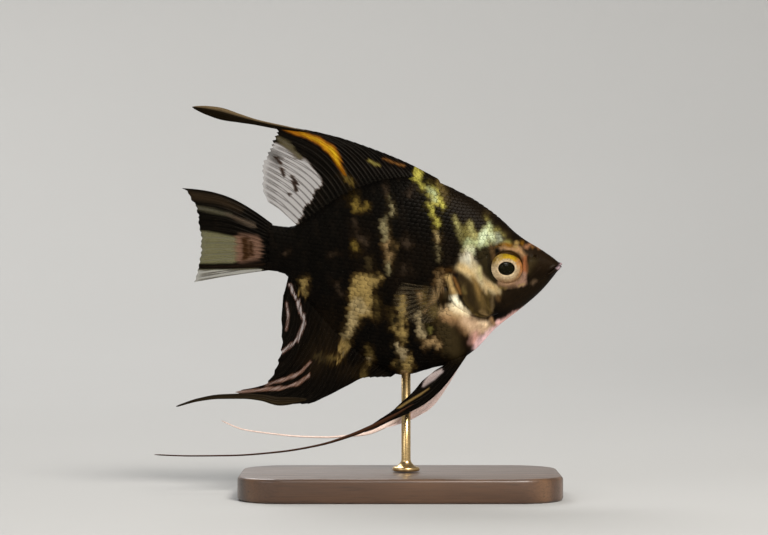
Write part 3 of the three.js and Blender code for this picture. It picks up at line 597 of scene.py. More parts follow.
THROAT_MARKS = [
    (THROAT_BROWN, 0.1, 2.0, [(11.4, 44.6, 1.0), (14.4, 44.4, 1.0), (17.2, 42.4, 1.6)]),
    (THROAT_TAN, 0.2, 1.6, [(10.6, 46, 0.7), (12.6, 46.4, 1.1), (15.6, 45, 0.9)]),
    (THROAT_BEIGE, 0.15, 2.0, [(16.4, 44, 1.2), (19.2, 42.2, 2.0), (21.8, 42, 1.4)]),
    (FLAP_CREAM, 0.25, 1.4, [(12.8, 47.6, 0.6), (14.2, 47, 1.1), (16.4, 45.8, 0.6)]),
    (FLAP_TAN, 0.2, 0.9, [(12.2, 54.4, 0.4), (12.6, 52.6, 0.5), (13.3, 50.8, 0.5)]),
    (FLAP_WHITE, 0.25, 1.1, [(13.2, 49.7, 0.5), (13.9, 48.5, 0.6), (15.2, 47.1, 0.2)]),
    (THROAT_CREAM, 0.1, 1.3, [(19.8, 43.6, 0.2), (21.5, 43.2, 0.4)]),
    (DUSK_PINK, 0.05, 1.8, [(18.4, 38.6, 0.7), (18.8, 40.4, 0.7)]),
    # Painted light: these pinks are brighter than the throat's own colour, to make up for the
    # underside facing down.
    (PALE_PINK, 0.05, 1.6, [(18.9, 37, 0.5), (20.8, 38.8, 1.0), (23.2, 41.2, 0.9),
     (25, 43, 0.6)]),
    (JAW_PINK, 0.05, 0.9, [(24.6, 43.4, 0.6), (26.6, 44.4, 0.45), (28.6, 45.5, 0.45),
     (30.8, 46.8, 0.2)]),
    (THROAT_BROWN, 0, 0.9, [(22.7, 44.5, 0.3), (23.4, 42.9, 0.4)]),
]
FIN_MARKS = [
    (ORANGE_GOLD, 0.05, 0.6, [(-29, 91.8, 0.15), (-27, 91.1, 0.4), (-23.2, 90, 0.5),
     (-21, 89, 0.75), (-18.8, 87.7, 0.9), (-16.8, 86.2, 1.1), (-15.8, 84.4, 0.9),
     (-14.8, 82.2, 0.5), (-13.9, 80.4, 0.25)]),
    (GOLD, 0.05, 0.6, [(-25, 90.7, 0.15), (-21.2, 89.1, 0.4), (-18.8, 87.6, 0.5),
     (-16.8, 86, 0.75), (-15.8, 84, 0.55), (-14.8, 82.4, 0.2)]),
    (YELLOW_GOLD, 0.05, 0.7, [(-21.6, 89.4, 0.1), (-20.4, 88.6, 0.15)], [(-17.4, 86.8, 0.3),
     (-16.2, 85.2, 0.35), (-15.4, 83.4, 0.15)]),
    (MOSS, 0.1, 0.6, [(-7.4, 83.6, 0.3), (-5.9, 82.7, 0.5)]),
    (RUST, 0, 0.6, [(-4.2, 84.2, 0.05), (1, 82.5, 0.1)]),
]


ALL_MARKS = (HEAD_MARKS, FACE_MARKS, TRUNK_MARKS, THROAT_MARKS, FIN_MARKS)
print("strokes:", sum(len(mark) - 3 for marks in ALL_MARKS for mark in marks))

# %% The paint itself
SOFTER = 1.3  # a mark's edge is this much softer than it says
HALO = np.array([0.36, 0.28, 0.18, 0.3])  # what is left of a mark's colour in its halo
PAINT_SEED = {-1: 3, 1: 40}  # for each side of the fish
OWN_SHIFT = {-1: 0, 1: 2.3}  # millimetres by which a flank differs from the right one
KEEL_BLEND = 1.2  # millimetres over which one flank's paint runs into the other's


def lay(hue, marks, x, z, roughen, halo_share=0.8, halo_wide=1.0):
    """Paints marks over hue. Each has a darker, warmer halo, where the black cells thin out."""
    for colour, silver, edge, *strokes in marks:
        outside = np.full(np.shape(x), FAR)
        for stroke in strokes:
            outside = np.minimum(outside, outside_of(x, z, stroke))
        outside = outside + roughen
        full = np.array([*colour, silver])
        near = (outside - 0.4 * halo_wide * edge) / (SOFTER * halo_wide * edge)
        hue = tint(hue, full * HALO, halo_share * smooth(0.5 - near))
        hue = tint(hue, full, smooth(0.5 - outside / (SOFTER * edge)))
    return hue


def paint(x, z, sign):
    """The colour at each place of the side view, and as a fourth number how silvery it is."""
    seed = PAINT_SEED[sign]
    shift_x = 0.34 * noise(x, z, seed, 0.7, 2.2) + 0.45 * noise(x, z, seed + 1, 2.1, 1.6)
    shift_z = 0.5 * noise(x, z, seed + 2, 1.1, 2.0) + 0.6 * noise(x, z, seed + 3, 2.6, 1.4)
    trunk = smooth((13.5 - x) / 4)
    roughen = 0.42 * noise(x, z, seed + 7, 0.42, 2.6) + 0.4 * noise(x, z, seed + 8, 1.0, 2.0)
    roughen += 0.34 * noise(x, z, seed + 11, 0.34, 6) * trunk
    wide_x = OWN_SHIFT[sign] * trunk * noise(x, z, seed + 4, 8, 1.5)
    wide_z = OWN_SHIFT[sign] * trunk * noise(x, z, seed + 5, 9)
    hue = np.zeros(np.shape(x) + (4,))
    hue[..., :3] = BLACK
    mottle = smooth(noise(x, z, seed + 6, 0.9, 3.0) * 1.3 - 0.1)[..., None]
    hue[..., :3] += mottle * np.array(BROWN_BLACK) * 0.45
    calm = lerp(0.4, 1, trunk)
    at_x, at_z = x + calm * shift_x + wide_x, z + calm * shift_z + wide_z
    for marks, *halo in ((HEAD_MARKS, 0.7), (TRUNK_MARKS, 0.6, 1.7)):
        hue = lay(hue, marks, at_x, at_z, calm * roughen, *halo)
    hue[..., :3] *= 0.45 + 0.55 * smooth(hue[..., 1:2] / 0.16)
    for marks, *halo in ((THROAT_MARKS, 0.1), (FACE_MARKS, 0)):
        hue = lay(hue, marks, at_x, at_z, calm * roughen, *halo)
    pale = smooth((hue[..., 1] - 0.05) / 0.2)
    fleck = 0.75 * noise(x, z, seed + 9, 0.55, 1.7) + 0.45 * noise(x, z, seed + 10, 0.25, 1.3)
    hue[..., :3] *= (1 + 0.26 * fleck * lerp(0.6, 1, pale))[..., None]
    streak = smooth(0.2 + noise(x, z, seed + 12, 0.55, 5))
    streak = streak * smooth(0.6 + noise(x, z, seed + 13, 2.0, 1.5))
    hue[..., :3] *= (1 - 0.45 * trunk * streak)[..., None]
    return lay(hue, FIN_MARKS, x + 0.3 * shift_x, z + 0.3 * shift_z, 0.15 * roughen)


def paint_round(x, y, z):
    """The paint of both flanks, run into each other across the keels of back and belly."""
    return tint(paint(x, z, -1), paint(x, z, 1), smooth(0.5 + y / KEEL_BLEND))


crown = np.array([10.0]), np.array([0.0]), np.array([76.0])
print("paint at the crown:", paint_round(*crown)[0].round(3))

# %% [markdown]
# ## Materials
#
# A material is a small graph of nodes. Written as sockets joined one by one it is hard to read,
# so a socket is wrapped in a class here and sums on it add the nodes. The paint arrives as an
# attribute on the points. The graph adds what is finer than the mesh, the grain of the skin,
# and what light does on it: a wet film over a rough skin, and the silvery layer under pale
# scales.

# %% A socket that can be added and multiplied
class Wire:
    """One output in a material's graph. Sums and products with it add Math nodes."""

    def __init__(self, finish, socket):
        self.finish, self.socket = finish, socket

    def sum_of(self, operation, first, second):
        return self.finish.node("ShaderNodeMath", {"operation": operation}, {0: first, 1: second})

    def __add__(self, other):
        return self.sum_of("ADD", self, other)

    def __sub__(self, other):
        return self.sum_of("SUBTRACT", self, other)

    def __rsub__(self, other):
        return self.sum_of("SUBTRACT", other, self)

    def __mul__(self, other):
        return self.sum_of("MULTIPLY", self, other)

    def __pow__(self, other):
        return self.sum_of("POWER", self, other)

    __radd__ = __add__
    __rmul__ = __mul__


class Finish:
    """A material in the making."""

    def __init__(self, name):
        self.material = bpy.data.materials.new(name)
        self.material.use_nodes = True
        self.tree = self.material.node_tree
        self.tree.nodes.clear()

    def node(self, kind, settings=None, inputs=None, output=0):
        """Adds a node: its settings first, then the values or wires of its sockets."""
        made = self.tree.nodes.new(kind)
        for key, value in (settings or {}).items():
            if key == "stops":
                ramp = made.color_ramp
                while len(ramp.elements) < len(value):
                    ramp.elements.new(0.5)
                for element, (place, colour) in zip(ramp.elements, value):
                    element.position, element.color = place, (*colour, 1)
            else:
                setattr(made, key, value)
        for key, value in (inputs or {}).items():
            if isinstance(value, Wire):
                self.tree.links.new(value.socket, made.inputs[key])
            else:
                made.inputs[key].default_value = value
        return Wire(self, made.outputs[output]) if made.outputs else made

    def stored(self, name, output="Color"):
        """What the points store under a name: Color or Alpha of a colour, Fac of a number."""
        return self.node("ShaderNodeAttribute", {"attribute_name": name}, output=output)

    def mix(self, a, b, share, blend="MIX"):
        """A colour between a and b."""
        colours = [c if isinstance(c, Wire) else (*c, 1) for c in (a, b)]
        return self.node("ShaderNodeMix", {"data_type": "RGBA", "blend_type": blend},
                         {0: share, 6: colours[0], 7: colours[1]}, output=2)

    def place(self):
        return self.node("ShaderNodeTexCoord", output="Object")

    def stretched(self, *scale):
        """Each place times a scale along each axis, for a grain that runs one way."""
        return self.node("ShaderNodeMapping", None, {"Vector": self.place(), "Scale": scale})

    def grain(self, scale, detail=3.0, at=None, **more):
        """Noise over the piece, about 0.5 on the average. scale counts its grains in a metre."""
        inputs = {"Vector": at or self.place(), "Scale": scale, "Detail": detail, **more}
        return self.node("ShaderNodeTexNoise", None, inputs)

    def bumps(self, height, strength, distance):
        return self.node("ShaderNodeBump", None,
                         {"Height": height, "Strength": strength, "Distance": distance})

    def close(self, **inputs):
        """Adds the surface itself. Its sockets are named with _ for a space."""
        named = {key.replace("_", " "): value for key, value in inputs.items()}
        surface = self.node("ShaderNodeBsdfPrincipled", None, named)
        self.node("ShaderNodeOutputMaterial", None, {"Surface": surface})
        return self.material


print("wires can be added, subtracted, multiplied and raised")


# %% Wet skin
WET_FILM = {"Coat_Roughness": 0.3, "Specular_Tint": (1, 0.84, 0.62, 1)}


def skin_finish(name, grain_depth, roughness, gloss, shine):
    """Painted skin under a wet film. Pale, silvery places shine a little like metal."""
    f = Finish(name)
    colour, speckle = f.stored("paint"), f.grain(2600, 4)
    shade = f.mix(colour, f.mix(colour, (0.5, 0.46, 0.4), 1.0, "MULTIPLY"), speckle ** 2.0)
    return f.close(Base_Color=shade, Metallic=f.stored("paint", "Alpha") * 0.5,
                   Roughness=speckle * 0.16 + roughness, Coat_Weight=gloss,
                   Specular_IOR_Level=shine, Normal=f.bumps(f.grain(1500, 2), 0.5, grain_depth),
                   **WET_FILM)


SKIN_WET = skin_finish("wet_skin", 0.00004, 0.42, 0.022, 0.03)
print("finish:", SKIN_WET.name, len(SKIN_WET.node_tree.nodes), "nodes")

# %% [markdown]
# ## The skin
#
# One closed skin covers head, trunk and tail stalk, so no seam shows between them. It starts as
# a ball with its poles at the snout and the tail. The rings are closer at the head, where the
# folds are. The ball is drawn out to the body's curves, then pushed in and out along its own
# normals: an orbit round each eye, lips round the mouth, pits for the nostrils, the creases of
# the cheek. On the trunk it lies deeper by the thickness of the scales.

# %% Places on the head
EYE_X, EYE_Z, EYE_RADIUS, EYE_FORWARD = 26.5, 57.1, 3.9, np.radians(10)
EYE_PROUD = 0.2  # how far the iris's rim stands out of the flank
NOSTRIL_X, NOSTRIL_Z = 33.6, 59.9
SOCKET_DEEP, ORBIT_HIGH = 2.7, 0.1
UPPER_LIP, LOWER_LIP, MOUTH_DEEP = 0.26, 0.24, 0.6
SCALE_BED = 0.2  # how deep the skin lies under the tops of the scales
MOUTH = line((37.1, 55.9), (38.3, 56.7), (39.4, 57.35), (41.2, 57.75))
flap_x = through(
    (0, 12.3), (0.18, 11.6), (0.34, 11.8), (0.5, 12.9), (0.65, 15), (0.8, 18.2), (1, 23.4))
flap_z = through(
    (0, 62.6), (0.18, 58.6), (0.34, 54.4), (0.5, 50.4), (0.65, 47.4), (0.8, 45.3), (1, 44.5))
FLAP_LINE = line(*[(float(flap_x(s)), float(flap_z(s))) for s in np.linspace(0, 1, 15)])
CREASES = [  # depth, half width, and the crease's line
    (0.16, 0.22, line((21.6, 63), (21.9, 58), (22.6, 53.5), (24.6, 49.6), (26, 47.6))),
    (0.12, 0.2, line((29.5, 52.6), (32.2, 54.6), (34.8, 57.4))),
    (0.12, 0.2, line((33.2, 52.4), (35.6, 54.2), (37.1, 55.9))),
    (0.1, 0.18, line((25.4, 47.4), (29, 49.3), (32.6, 51.8))),
    (0.1, 0.25, line((24.5, 52.2), (27, 51.2), (30, 52))),
    (0.12, 0.25, line((26.5, 62.6), (30, 61.6), (32.4, 59))),
]


def scaled(x, z):
    """1 where scales grow, and 0 on the bare snout, round the eye and on the throat."""
    bare = smooth((x - lerp(24.5, 17.5, smooth((62 - z) / 4))) / 2.0)
    throat = smooth((47.5 - z) / 2) * smooth((x - 11.5) / 3)
    return 1 - np.maximum(bare, throat)


def relief(x, z):
    """How far the skin stands out of the smooth body at each place, in millimetres."""
    from_eye = np.hypot((x - EYE_X) / np.cos(EYE_FORWARD), z - EYE_Z)
    out = -SCALE_BED * scaled(x, z)
    out += ORBIT_HIGH * bump(from_eye, EYE_RADIUS + 1, 0.8)
    out -= SOCKET_DEEP * smooth((EYE_RADIUS + 0.7 - from_eye) / 0.35)
    for depth, width, crease in CREASES:
        out -= depth * bump(outside_of(x, z, crease), 0, width)
    from_mouth = outside_of(x, z, MOUTH)
    upper = z > np.interp(x, [p[0] for p in MOUTH], [p[1] for p in MOUTH])
    lips = smooth((x - 36.4) / 1.2)
    out += lips * np.where(upper, UPPER_LIP, LOWER_LIP) * bump(from_mouth, 0.55, 0.36)
    out -= lips * MOUTH_DEEP * bump(from_mouth, 0, 0.15)
    from_nostril = np.hypot(x - NOSTRIL_X, (z - NOSTRIL_Z) * 1.2)
    out += 0.16 * bump(from_nostril, 0.62, 0.22) - 0.5 * bump(from_nostril, 0, 0.34)
    behind = outside_of(x, z, FLAP_LINE)
    out -= 0.08 * bump(behind, 0, 0.6) * smooth((64 - z) / 1.5)
    return out


print("creases on each cheek:", len(CREASES))


# %% A map for the finish
MAP_WIDE = 0.98  # leaves room where the map closes


def unwrap(mesh, u, v):
    """Lays each point at (u, v) on the map OFBake. u runs round and closes where it passes 1."""
    corners = np.empty(len(mesh.loops), int)
    mesh.loops.foreach_get("vertex_index", corners)
    at = u[corners]
    starts = np.empty(len(mesh.polygons), int)
    mesh.polygons.foreach_get("loop_start", starts)
    sizes = np.diff(np.append(starts, len(corners)))
    highest = np.repeat(np.maximum.reduceat(at, starts), sizes)
    at = np.where(highest - at > 0.5, at + 1, at)
    layer = mesh.uv_layers.new(name="OFBake")
    flat = np.stack([at * MAP_WIDE, v[corners]], axis=-1)
    layer.data.foreach_set("uv", flat.ravel().astype("f4"))


print("maps are", MAP_WIDE, "wide")


# %% The skin's mesh
AROUND, ALONG = 320, 296
CAP = 0.035  # share of the rings that round off each end
ring_x = through((0, 40), (0.05, 39.2), (0.13, 37), (0.34, 28), (0.56, 16), (0.66, 9), (1, -33))
skin_mesh, turn, share = ball("skin", AROUND, ALONG)
snout_cap = np.clip(share / CAP, 0, 1) * np.pi / 2
tail_cap = np.clip((1 - share) / CAP, 0, 1) * np.pi / 2
x = ring_x((share - CAP) / (1 - 2 * CAP))
y, z = section_point(x, turn + np.pi / 2)
closing = np.sin(snout_cap) * np.sin(tail_cap)
z = lerp(axis_height(x), z, closing)
y = y * closing
x = x + 0.5 * np.cos(snout_cap) - 0.3 * np.cos(tail_cap)
move_to(skin_mesh, np.stack([x, y, z], axis=-1))
skin_co = np.stack([x, y, z], axis=-1) + normals(skin_mesh) * relief(x, z)[:, None]
move_to(skin_mesh, skin_co)
give(skin_mesh, "paint", paint_round(x, y, z))
unwrap(skin_mesh, turn / (2 * np.pi) + 0.5, share)
piece("skin", skin_mesh, SKIN_WET, "skin", "head", "trunk", "tail_stalk")
print("skin reaches", [round(float(v), 1) for v in np.ptp(skin_co, axis=0)], "mm")

# %% [markdown]
# ## Scales
#
# An angelfish has small scales, a bit over a millimetre across. Each grows from a pocket in the
# skin and its free edge lies on the next ones behind it, like tiles. Here one scale is made
# from a low cone with a domed top, and a few thousand copies of its points are bent onto the
# flank, row by row, with the free edge raised. A bump pattern would be quicker, but it would
# leave the outline of back and belly smooth and would not catch the light on each edge.

# %% One scale
SCALE_SIDES = 12
bm = bmesh.new()
bmesh.ops.create_cone(bm, cap_ends=True, cap_tris=False, segments=SCALE_SIDES, radius1=1,
                      radius2=0.8, depth=1)
top = [face for face in bm.faces if face.normal.z > 0.9]
bmesh.ops.poke(bm, faces=top)
scale_mesh = mesh_from(bm, "one_scale")
scale_points = places(scale_mesh)
scale_faces = [list(face.vertices) for face in scale_mesh.polygons]
bpy.data.meshes.remove(scale_mesh)
print("one scale:", len(scale_faces), "faces")

# %% A map of the flank: how far round each section a place lies
MAP_X = np.linspace(TAIL_X, SNOUT_X, 293)
MAP_TURN = np.linspace(-np.pi / 2, np.pi / 2, 241)
ROUND_STEP, ROUND_FAR = 0.25, 32.0
MAP_ROUND = np.arange(-ROUND_FAR, ROUND_FAR + ROUND_STEP, ROUND_STEP)
HALFWAY = 150  # the map's section near the middle of the body


def round_map():
    """For each x, the turn at even distances round the section, and where back and belly end."""
    turns, ends = [], []
    for x in MAP_X:
        y, z = section_point(x, MAP_TURN)
        walked = np.concatenate([[0], np.cumsum(np.hypot(np.diff(y), np.diff(z)))])
        walked -= np.interp(0, MAP_TURN, walked)
        turns.append(np.interp(MAP_ROUND, walked, MAP_TURN))
        ends.append((walked[0], walked[-1]))
    return np.array(turns), np.array(ends)


TURN_MAP, ROUND_ENDS = round_map()


def on_flank(x, walked):
    """(y, z) on the left flank, walked millimetres round from the axis."""
    i = np.clip((x - TAIL_X) / (MAP_X[1] - MAP_X[0]), 0, len(MAP_X) - 1.001)
    j = np.clip((walked + ROUND_FAR) / ROUND_STEP, 0, len(MAP_ROUND) - 1.001)
    i0, j0 = i.astype(int), j.astype(int)
    near = lerp(TURN_MAP[i0, j0], TURN_MAP[i0 + 1, j0], i - i0)
    far = lerp(TURN_MAP[i0, j0 + 1], TURN_MAP[i0 + 1, j0 + 1], i - i0)
    return section_point(x, lerp(near, far, j - j0))


print("the flank is", [round(float(v), 1) for v in ROUND_ENDS[HALFWAY]], "mm round")

# %% Rows of scales
ROW_STEP = 1.02
LAST_SCALE_X = 30
step_along = through((-33, 1.0), (-20, 1.22), (5, 1.28), (12, 1.1), (20, 0.8), (27, 0.6))


def scale_roots(seed):
    """The root of each scale, as x and how far round it lies, in staggered rows."""
    random = np.random.default_rng(seed)
    roots = []
    for row in range(-int(ROUND_FAR / ROW_STEP), int(ROUND_FAR / ROW_STEP) + 1):
        x = TAIL_X + 1.2 + (0.6 if row % 2 else 0)
        while x < LAST_SCALE_X:
            step = float(step_along(x))
            walked = row * ROW_STEP * lerp(1, 0.94, smooth((x - 8) / 10))
            low, high = (np.interp(x, MAP_X, ROUND_ENDS[:, k]) for k in (0, 1))
            z = on_flank(np.array([x]), np.array([walked]))[1][0]
            if low + 0.25 < walked < high - 0.25 and scaled(x, z) > 0.35:
                shift = random.normal(0, 0.05, 2)
                roots.append((x + shift[0] * step, walked + shift[1], step))
            x += step
    return np.array(roots)


print("scales are", float(step_along(SNOUT_X)), "to", float(step_along(5)), "mm apart")

# %% The coat of scales
COVER_MIDDLE = [
    (16.6, 60, 2.6), (16.6, 54.5, 4.4), (16.8, 50, 4.4), (19, 48, 4.2), (22.2, 46.5, 1.6)]
PECTORAL_X, PECTORAL_Z = 11.2, 49.6
COAT_SEED = {"right": 11, "left": 23}
SCALE_ON_MAP = 0.0015  # half a scale's size on the map


def hidden_by_gill(x, z):
    """True where the gill cover and the fin's fleshy root lie over the skin."""
    under_cover = (outside_of(x, z, COVER_MIDDLE) < 0) & (z < 60.2)
    return under_cover | (np.hypot((x - PECTORAL_X + 0.6) / 1.8, (z - PECTORAL_Z) / 2.7) < 1)


def scale_coat(name, sign, seed):
    """All the scales of one flank as one joined mesh."""
    roots = scale_roots(seed)
    root_z = on_flank(roots[:, 0], roots[:, 1])[1]
    roots = roots[~hidden_by_gill(roots[:, 0], root_z)]
    random = np.random.default_rng(seed + 1)
    tilt = random.uniform(0.8, 1.25, len(roots))[:, None]
    x0, walked0, step = (column[:, None] for column in roots.T)
    across, along, high = scale_points.T
    free = 0.5 - 0.5 * along
    x = x0 - (free * 1.95 - 0.35) * step
    walked = walked0 + across * 0.70 * ROW_STEP * (1 - 0.12 * free) * (step / 1.25) ** 0.3
    y, z = on_flank(x, walked)
    middle = (high > 0.49) & (np.hypot(across, along) < 0.1)
    lift = -SCALE_BED - 0.02 + 0.1 * tilt * free + 0.045 * (high + 0.5) + 0.03 * middle
    small = np.clip(step / 1.2, 0.5, 1) * lerp(1, 0.72, smooth((x0 - 9) / 7))
    co = raised(x, sign * y, z, lift * small).reshape(-1, 3)
    count = len(scale_points)
    faces = [[k + n * count for k in face] for n in range(len(roots)) for face in scale_faces]
    mesh = bpy.data.meshes.new(name)
    mesh.from_pydata(co, [], faces)
    move_to(mesh, co)
    root_y, root_z = on_flank(x0 - 0.6 * step, walked0)
    own = paint_round(x0 - 0.6 * step, sign * root_y, root_z)
    local = paint_round(x, sign * y, z)
    hue = lerp(local, own, 0.25)
    hue[..., :3] *= random.uniform(0.86, 1.14, (len(roots), 1, 1))
    hue[..., :3] *= 1 - 0.15 * free[None, :, None] ** 4
    # Painted shade: the low walls of each scale, down in the gaps between rows, are darker.
    hue[..., :3] *= np.where(high < 0, 0.75, 1)[None, :, None]
    give(mesh, "paint", hue.reshape(-1, 4))
    turn_at = np.interp(walked0, MAP_ROUND, TURN_MAP[HALFWAY]) * sign
    u = 0.5 - 0.25 * sign + turn_at / (2 * np.pi) + across * SCALE_ON_MAP
    v = (SNOUT_X - x0) / (SNOUT_X - TAIL_X) * 0.94 + 0.03 + along * SCALE_ON_MAP
    unwrap(mesh, u.ravel(), v.ravel() * np.ones(u.size))
    print(name, "has", len(roots), "scales")
    return mesh


SCALE_COAT = skin_finish("scales", 0.00002, 0.42, 0.02, 0.03)
for side, sign in SIDES.items():
    mesh = scale_coat(f"scales_{side}", sign, COAT_SEED[side])
    piece(f"scales_{side}", mesh, SCALE_COAT, "skin")

# %% [markdown]
# ## Gill covers
#
# The gill cover is a thin bony plate with a free rear edge. Under the edge lies a soft, pale
# skin on a fan of fine bones, which closes the gap when the fish breathes out. Both are sheets
# here. The plate starts under the cheek's skin and rises to stand free at its rim, so that it
# casts a real shadow. Cutting it out of the skin's mesh would need far more faces for an edge
# this thin.

# %% Where the plate lies
front_x = through((0, 17.5), (0.2, 18.9), (0.45, 20.6), (0.7, 22.9), (1, 26))
front_z = through((0, 62.9), (0.2, 60.5), (0.45, 53.5), (0.7, 47.4), (1, 45.6))
rim_x = through(
    (0, 15.2), (0.18, 13.4), (0.34, 13.0), (0.5, 14.4), (0.65, 16.5), (0.8, 19.3), (1, 23.8))
rim_z = through(
    (0, 62.4), (0.18, 58.4), (0.34, 54.6), (0.5, 50.8), (0.65, 47.5), (0.8, 45.4), (1, 44.5))


def lay_on_flank(mesh, x, z, sign, lift):
    """Bends a mesh onto one flank, stands it out of the skin by lift and paints it."""
    y = sign * flank(x, z)
    move_to(mesh, raised(x, y, z, lift))
    give(mesh, "paint", paint_round(x, y, z))
    return mesh


print("the plate's rim runs from", rim_x(0), rim_z(0), "to", rim_x(1), rim_z(1))


# %% The plate and the soft skin under it
def gill_plate(name, sign):
    mesh, u, v, face = sheet(name, 90, 110)
    x, z = lerp(front_x(v), rim_x(v), u), lerp(front_z(v), rim_z(v), u)
    ends = smooth((v - 0.02) / 0.3) * smooth((1 - v) / 0.14)
    lift = lerp(-0.5, 0.38, smooth(u / 0.35)) * ends - 0.6 * (1 - ends)
    lift = lift - 0.22 * smooth((u - 0.8) / 0.2)
    lift += 0.02 * np.sin(u * 26 + 2.2 * noise(x, z, 5, 3)) * bump(u, 0.72, 0.25)
    half = 0.13 * np.sqrt(np.clip((1 - u) / 0.05, 0, 1)) + 0.01
    return lay_on_flank(mesh, x, z, sign, lift + half * face)


def gill_flap(name, sign):
    """The pale soft skin that runs out from under the plate's rim, its fine bones as ridges."""
    mesh, u, v, face = sheet(name, 44, 150)
    s = lerp(0.24, 1, v)
    wide = smooth((v + 0.05) / 0.3) * smooth((1 - v) / 0.2)
    x = lerp(rim_x(s) + 1.0, lerp(rim_x(s) - 0.4, flap_x(s) - 0.5, wide), u)
    z = lerp(rim_z(s) + 0.4, lerp(rim_z(s) - 0.1, flap_z(s) - 0.5, wide), u)
    ribs = 0.035 * np.cos(v * 50 + 3 * u) * smooth(u / 0.4) * smooth((1 - u) / 0.3)
    half = 0.08 * np.sqrt(np.clip((1 - u) / 0.2, 0, 1)) + 0.01
    sink = smooth((v - 0.4) / 0.2) * smooth((u - 0.55) / 0.45)
    lift = 0.1 + 0.06 * bump(u, 0.5, 0.3) + ribs - 0.34 * sink
    lift -= 0.5 * (1 - smooth(v / 0.12)) + 0.6 * smooth((v - 0.84) / 0.16)
    return lay_on_flank(mesh, x, z, sign, lift + half * face)


GILL_WET = skin_finish("gill_cover_skin", 0.00004, 0.38, 0.05, 0.06)
for side, sign in SIDES.items():
    name = f"gill_cover_{side}_outer"
    both = joined(name, gill_plate("plate", sign), gill_flap("flap", sign))
    piece(name, both, GILL_WET, "gill_cover", f"gill_cover_{side}")

# %% [markdown]
# ## Fins
#
# A fin is a fan of bony rays with a thin web between them. The front rays are stiff spines that
# end in a point. The soft rays split twice on the way out and carry fine joints. Each fin here
# is one closed sheet: its columns follow the rays and its thickness rises along them, so rays
# and web are one surface, as on the fish. Every ray is an arc from the fin's root to its tip.
# The web is thin enough to see through where it carries no black.

# %% A fan of rays
def fan(*stations):
    """Rays between stations (share of the root, tip x, tip z, leaving and arriving direction)."""
    return [through(*[(s[0], s[k]) for s in stations]) for k in range(1, 5)]


def ray_point(root, ray, bow, t):
    """(x, z) on a ray at t from 0 to 1. bow says how far it keeps to its two directions."""
    (root_x, root_z), (tip_x, tip_z, leave, arrive) = root, ray
    reach = bow * np.hypot(tip_x - root_x, tip_z - root_z)
    leave, arrive = np.radians(leave), np.radians(arrive)
    a, b, c, d = (1 - t) ** 3, 3 * (1 - t) ** 2 * t, 3 * (1 - t) * t * t, t ** 3

    def along(root, tip, out, back):
        return a * root + b * (root + reach * out) + c * (tip - reach * back) + d * tip

    return (along(root_x, tip_x, np.cos(leave), np.cos(arrive)),
            along(root_z, tip_z, np.sin(leave), np.sin(arrive)))


half_ray = ray_point((0, 0), (10, 0, 90, 270), 0.5, 0.5)
print("halfway along a bowed ray:", [round(float(v), 2) for v in half_ray])

# %% The sheet of a fin
WEB_HALF = 0.085  # half the web's thickness
BRANCH, TWIG = 0.17, 0.085  # how far a soft ray parts, in steps from ray to ray
JOINTS = 190  # radians of the wave of joints along a ray


